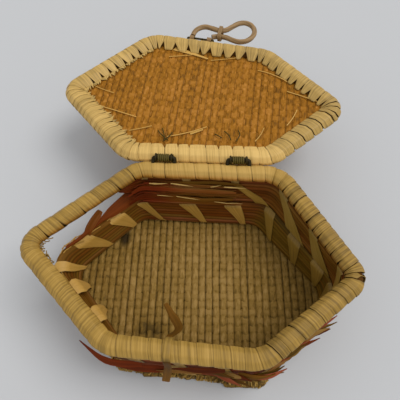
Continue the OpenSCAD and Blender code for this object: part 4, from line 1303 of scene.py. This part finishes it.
class BASKET_OT_torn_leaves(bpy.types.Operator):
    """Add the torn leaves of the upper coil and the loose tie over the front rim"""

    bl_idname = "basket.torn_leaves"
    bl_label = "Torn leaves"

    def execute(self, context):
        form, sizes, colours = basket(context)
        work = Work()
        # Both lean outward, so that their faces look up
        for route, tone, dye in ((TORN_ROUTE, 0.42, 0.8), (STANDING_ROUTE, 0.55, 0.6)):
            back, up, width = smooth(np.array(route) * MM, 6).T
            z = form.lower_z + sizes.coil_h / 2 + up
            path = form.upper_wall.at(-back, -1 * MM, z)
            side = form.upper_wall.at(-back, -0.3 * MM, z + 0.7 * MM) - path
            leaf(work, path, side, width, 0.7 * MM, tone, dye, 0.0, 0.4 * MM)
        place(work, "torn_leaf", coil_leaf(colours), "base", "red_leaf", "torn_strip")
        # All four draw in turn from one row of random numbers
        rng = np.random.default_rng(SEEDS["shreds"])
        place(self.slivers(rng, form, sizes), "loose_coil_leaves", coil_leaf(colours), "base", "red_leaf")
        place(self.pale_slivers(rng, form, sizes), "pale_slivers", lid_leaf(colours), "base", "pale_strip")
        place(self.coil_frays(rng, form, sizes), "frayed_straws", pale_strip(colours), "base", "pale_strip")
        place(self.rim_frays(rng, form, sizes), "frayed_rim_leaf", base_leaf(colours), "base", "leaf_wrap")
        self.tie(form, sizes, colours)
        return {"FINISHED"}

    def slivers(self, rng, form, sizes):
        """Slivers of leaf loose on the upper coil, on its inner face at the back and outside at the front."""
        work = Work()
        foot = form.upper_z - sizes.coil_h / 2
        for level in np.linspace(1.5, 20, 30):
            first, last = rng.uniform(-22, 14), rng.uniform(46, 72)
            s = np.linspace(first, last, 20) * MM
            rise = np.linspace(0, 1, 20) * rng.normal(-1, 1.4)
            z = foot + (level + rise) * MM + drift(rng, 20, 7, 0.5 * MM)
            out = -sizes.coil_t / 2 - rng.uniform(0.3, 2.2) * MM + drift(rng, 20, 7, 0.35 * MM)
            z = np.clip(z, foot + 1 * MM, foot + 21.4 * MM)
            tips = rng.uniform(0.1, 0.8), rng.uniform(0.1, 0.9)
            ends = np.interp(np.arange(20), (0, 3, 16, 19), (tips[0], 1, 1, tips[1]))
            side = np.array([0, rng.normal(0.3, 0.3), 1.0])
            width = rng.uniform(0.9, 3.6) * MM * ends
            # The dye has kept best by the back left corner
            dye = np.clip(np.interp(s, (0, 30 * MM), (1, 0.4)) + rng.normal(0, 0.12), 0, 1)
            tone = rng.uniform(0.35, 0.95) + np.interp(s, (0, 25 * MM), (-0.25, 0))
            path = form.upper_wall.at(s, out, z)
            leaf(work, path, side, width, 0.35 * MM, tone, dye, 0.0, 0.1 * MM)
        outside = list(OUTSIDE_LEAVES)
        # Short slivers lie over each other round the front right corner
        for first in np.arange(272, 200, -2.6):
            run, low, rise, far = rng.uniform((10, 24, 2, 6.5), (19, 34, 8, 11.5))
            look = rng.uniform(1.4, 3.4), rng.choice((0.1, 0.35, 0.75, 0.95)), rng.choice((0.1, 0.3, 0.9))
            outside.append((first, first - run, low, low + rise, 4.6, far, *look))
        for first, last, low, high, near, far, width, tone, dye in outside:
            s, z, out = (np.linspace(a, b, 16) * MM for a, b in ((first, last), (low, high), (near, far)))
            out = out + drift(rng, 16, 6, 0.3 * MM)
            path = form.upper_wall.at(s, out, z)
            # Their lower edges flare out
            side = form.upper_wall.at(s, out + 0.8 * MM, z - 0.6 * MM) - path
            ends = np.interp(np.arange(16), (0, 3, 8, 15), (0.6, 1, 1, 0.1))
            leaf(work, path, side, width * MM * ends, 0.45 * MM, tone, dye, 0.0, 0.3 * MM)
        return work

    def pale_slivers(self, rng, form, sizes):
        """Thin pale slivers on the inner face of the upper coil at the back."""
        work = Work()
        foot = form.upper_z - sizes.coil_h / 2
        for first, last, low, high, width in PALE_SLIVERS:
            s, z = np.linspace(first, last, 12) * MM, foot + np.linspace(low, high, 12) * MM
            out = -sizes.coil_t / 2 - 2.6 * MM + drift(rng, 12, 5, 0.3 * MM)
            ends = np.interp(np.arange(12), (0, 3, 7, 11), (0.6, 1, 0.7, 0.1))
            leaf(work, form.upper_wall.at(s, out, z), (0, 0.9, 0.5), width * MM * ends, 0.35 * MM, 0.6)
        return work

    def coil_frays(self, rng, form, sizes):
        """Straws frayed off the top of the lower coil by the left corner."""
        work = Work()
        first = form.lower_wall.marks[10]
        for s in np.linspace(first - 6 * MM, first + 40 * MM, 30):
            ends = s + np.array([0, 0.5, 1]) * rng.uniform(3, 9) * MM
            out = rng.uniform(-2, 3) * MM + np.array([0, 0.3, 1]) * rng.normal(0, 1.6) * MM
            z = form.lower_z + sizes.coil_h / 2 + np.array([0.1, 0.6, rng.uniform(0.3, 1.6)]) * MM
            strand(work, smooth(form.lower_wall.at(ends, out, z), 4), 0.36 * MM, rng.uniform(0.3, 0.8), 6)
        return work

    def rim_frays(self, rng, form, sizes):
        """Leaf frayed off the inner edge of the base rim by the left corner."""
        work = Work()
        way = form.rim_way
        for s in np.linspace(way.marks[9] - 12 * MM, way.marks[10] + 2 * MM, 18):
            run = s + np.array([0, 0.4, 1]) * rng.normal(0, 3) * MM
            out = -sizes.tube_w / 2 + np.array([0.6, -0.4, -rng.uniform(0.2, 2)]) * MM
            z = form.rim_z - np.array([rng.uniform(0, 3), rng.uniform(1, 3), rng.uniform(1, 5)]) * MM
            strand(work, smooth(way.at(run, out, z), 4), 0.36 * MM, rng.uniform(0, 0.3), 6)
        return work

    def tie(self, form, sizes, colours):
        """A leaf laid over the front rim, loose at both ends, dark where it curls inside."""
        middle = span(form.rim, sizes.tie_x)[0]
        section = Section(sizes.tube_w + 1.2 * MM, sizes.tube_t + 1.2 * MM, sizes.rim_chamfer, 1.1 * MM)
        n, z, _, _ = section.at(np.array([section.corner(k) for k in (4, 3.5, 3, 2.5, 2, 1.5, 1)]))
        over = np.column_stack([n, z, 0 * n])
        route = smooth(np.concatenate([np.array(TIE_INSIDE) * MM, over, np.array(TIE_OUTSIDE) * MM]), 5)
        path = np.column_stack([sizes.tie_x + route[:, 2], middle - route[:, 0], form.rim_z + route[:, 1]])
        share = np.linspace(0, 1, len(path))
        side = np.column_stack([np.ones(len(path)), np.interp(share, (0, 0.3), (0.8, 0)), 0 * share])
        width = sizes.tie_w * np.interp(share, (0, 0.1, 0.36, 0.45, 0.75, 1), (0.5, 1.0, 0.8, 0.7, 0.75, 0.9))
        tone = np.interp(share, (0, 0.36, 0.45, 0.7, 0.78, 1), (0.25, 0.2, 0.45, 0.45, 0.05, 0.25))
        dirt_and_shade = np.interp(share, (0, 0.3, 0.4, 0.7, 0.78, 1), (0.1, 0.45, 0.1, 0.1, 0.5, 0.05))
        over = (share > 0.34) & (share < 0.8)
        work = Work()
        leaf(work, path[over], side[over], width[over], 0.6 * MM, tone[over], 0.0, dirt_and_shade[over])
        place(work, "front_tie_leaf", base_leaf(colours), "base", "leaf_wrap", "front_tie")
        work = Work()
        for part in (share < 0.38, share > 0.76):
            leaf(work, path[part], side[part], width[part], 0.8 * MM, tone[part] + 0.25, 0.3, dirt_and_shade[part])
        place(work, "front_tie_ends", coil_leaf(colours), "base", "leaf_wrap")


class BASKET_OT_loose_straws(bpy.types.Operator):
    """Add the loose straws and thread ends on the lid's mat"""

    bl_idname = "basket.loose_straws"
    bl_label = "Loose straws"

    def execute(self, context):
        form, _, colours = basket(context)
        top = form.laid_open([0, 0, form.mat_z])[2] + 1.9 * MM
        rng = np.random.default_rng(SEEDS["loose_straws"])
        t = np.linspace(0, 1, 9)[:, None]
        work = Work()
        for x0, y0, x1, y1, w0, w1 in LID_STRAWS:
            a, b = np.array([x0, y0]) * MM, np.array([x1, y1]) * MM
            side = np.array([a[1] - b[1], b[0] - a[0]])
            flat = a + (b - a) * t + side * rng.normal(0, 0.04) * 4 * t * (1 - t)
            path = np.column_stack([flat, top + 0.8 * MM * t])
            width = np.linspace(w0, w1, len(t)) * MM
            leaf(work, path, np.append(side, 0), width, 0.4 * MM, 0.92 + rng.normal(0, 0.05), crown=0.2 * MM)
        place(work, "lid_loose_straws", pale_strip(colours), "lid", "lid_straw")
        work = Work()
        for x0, y0, x1, y1 in THREAD_ENDS:
            knots = [(x0, y0, 0.3), ((x0 + x1) / 2 + rng.normal(0, 1), (y0 + y1) / 2, 1.2), (x1, y1, 0.6)]
            strand(work, smooth(np.array(knots) * MM + (0, 0, top), 5), 0.42 * MM, 0.2)
        place(work, "hinge_thread_ends", hinge_thread(colours), "lid", "hinge_thread")
        return {"FINISHED"}


class BASKET_PT_panel(bpy.types.Panel):
    """Lists the basket's pieces, sizes and colours"""

    bl_idname = "BASKET_PT_panel"
    bl_label = "Straw basket"
    bl_space_type = "VIEW_3D"
    bl_region_type = "UI"
    bl_category = "Basket"

    def draw(self, context):
        for operator in OPERATORS:
            self.layout.operator(operator.bl_idname)
        for group in (context.scene.basket_sizes, context.scene.basket_colours):
            box = self.layout.box()
            for key in group.__annotations__:
                box.prop(group, key)


OPERATORS = (
    BASKET_OT_stage,
    BASKET_OT_closing_loop,
    BASKET_OT_floor_mat,
    BASKET_OT_lid_mat,
    BASKET_OT_wall_coils,
    BASKET_OT_coil_strips,
    BASKET_OT_rims,
    BASKET_OT_hinges,
    BASKET_OT_torn_leaves,
    BASKET_OT_loose_straws,
)
CLASSES = (BasketSizes, BasketColours, *OPERATORS, BASKET_PT_panel)


def register():
    for kind in CLASSES:
        bpy.utils.register_class(kind)
    bpy.types.Scene.basket_sizes = PointerProperty(type=BasketSizes)
    bpy.types.Scene.basket_colours = PointerProperty(type=BasketColours)


def unregister():
    del bpy.types.Scene.basket_colours
    del bpy.types.Scene.basket_sizes
    for kind in reversed(CLASSES):
        bpy.utils.unregister_class(kind)


def main():
    register()
    for operator in OPERATORS:
        group, name = operator.bl_idname.split(".")
        getattr(getattr(bpy.ops, group), name)()


if __name__ == "__main__":
    main()
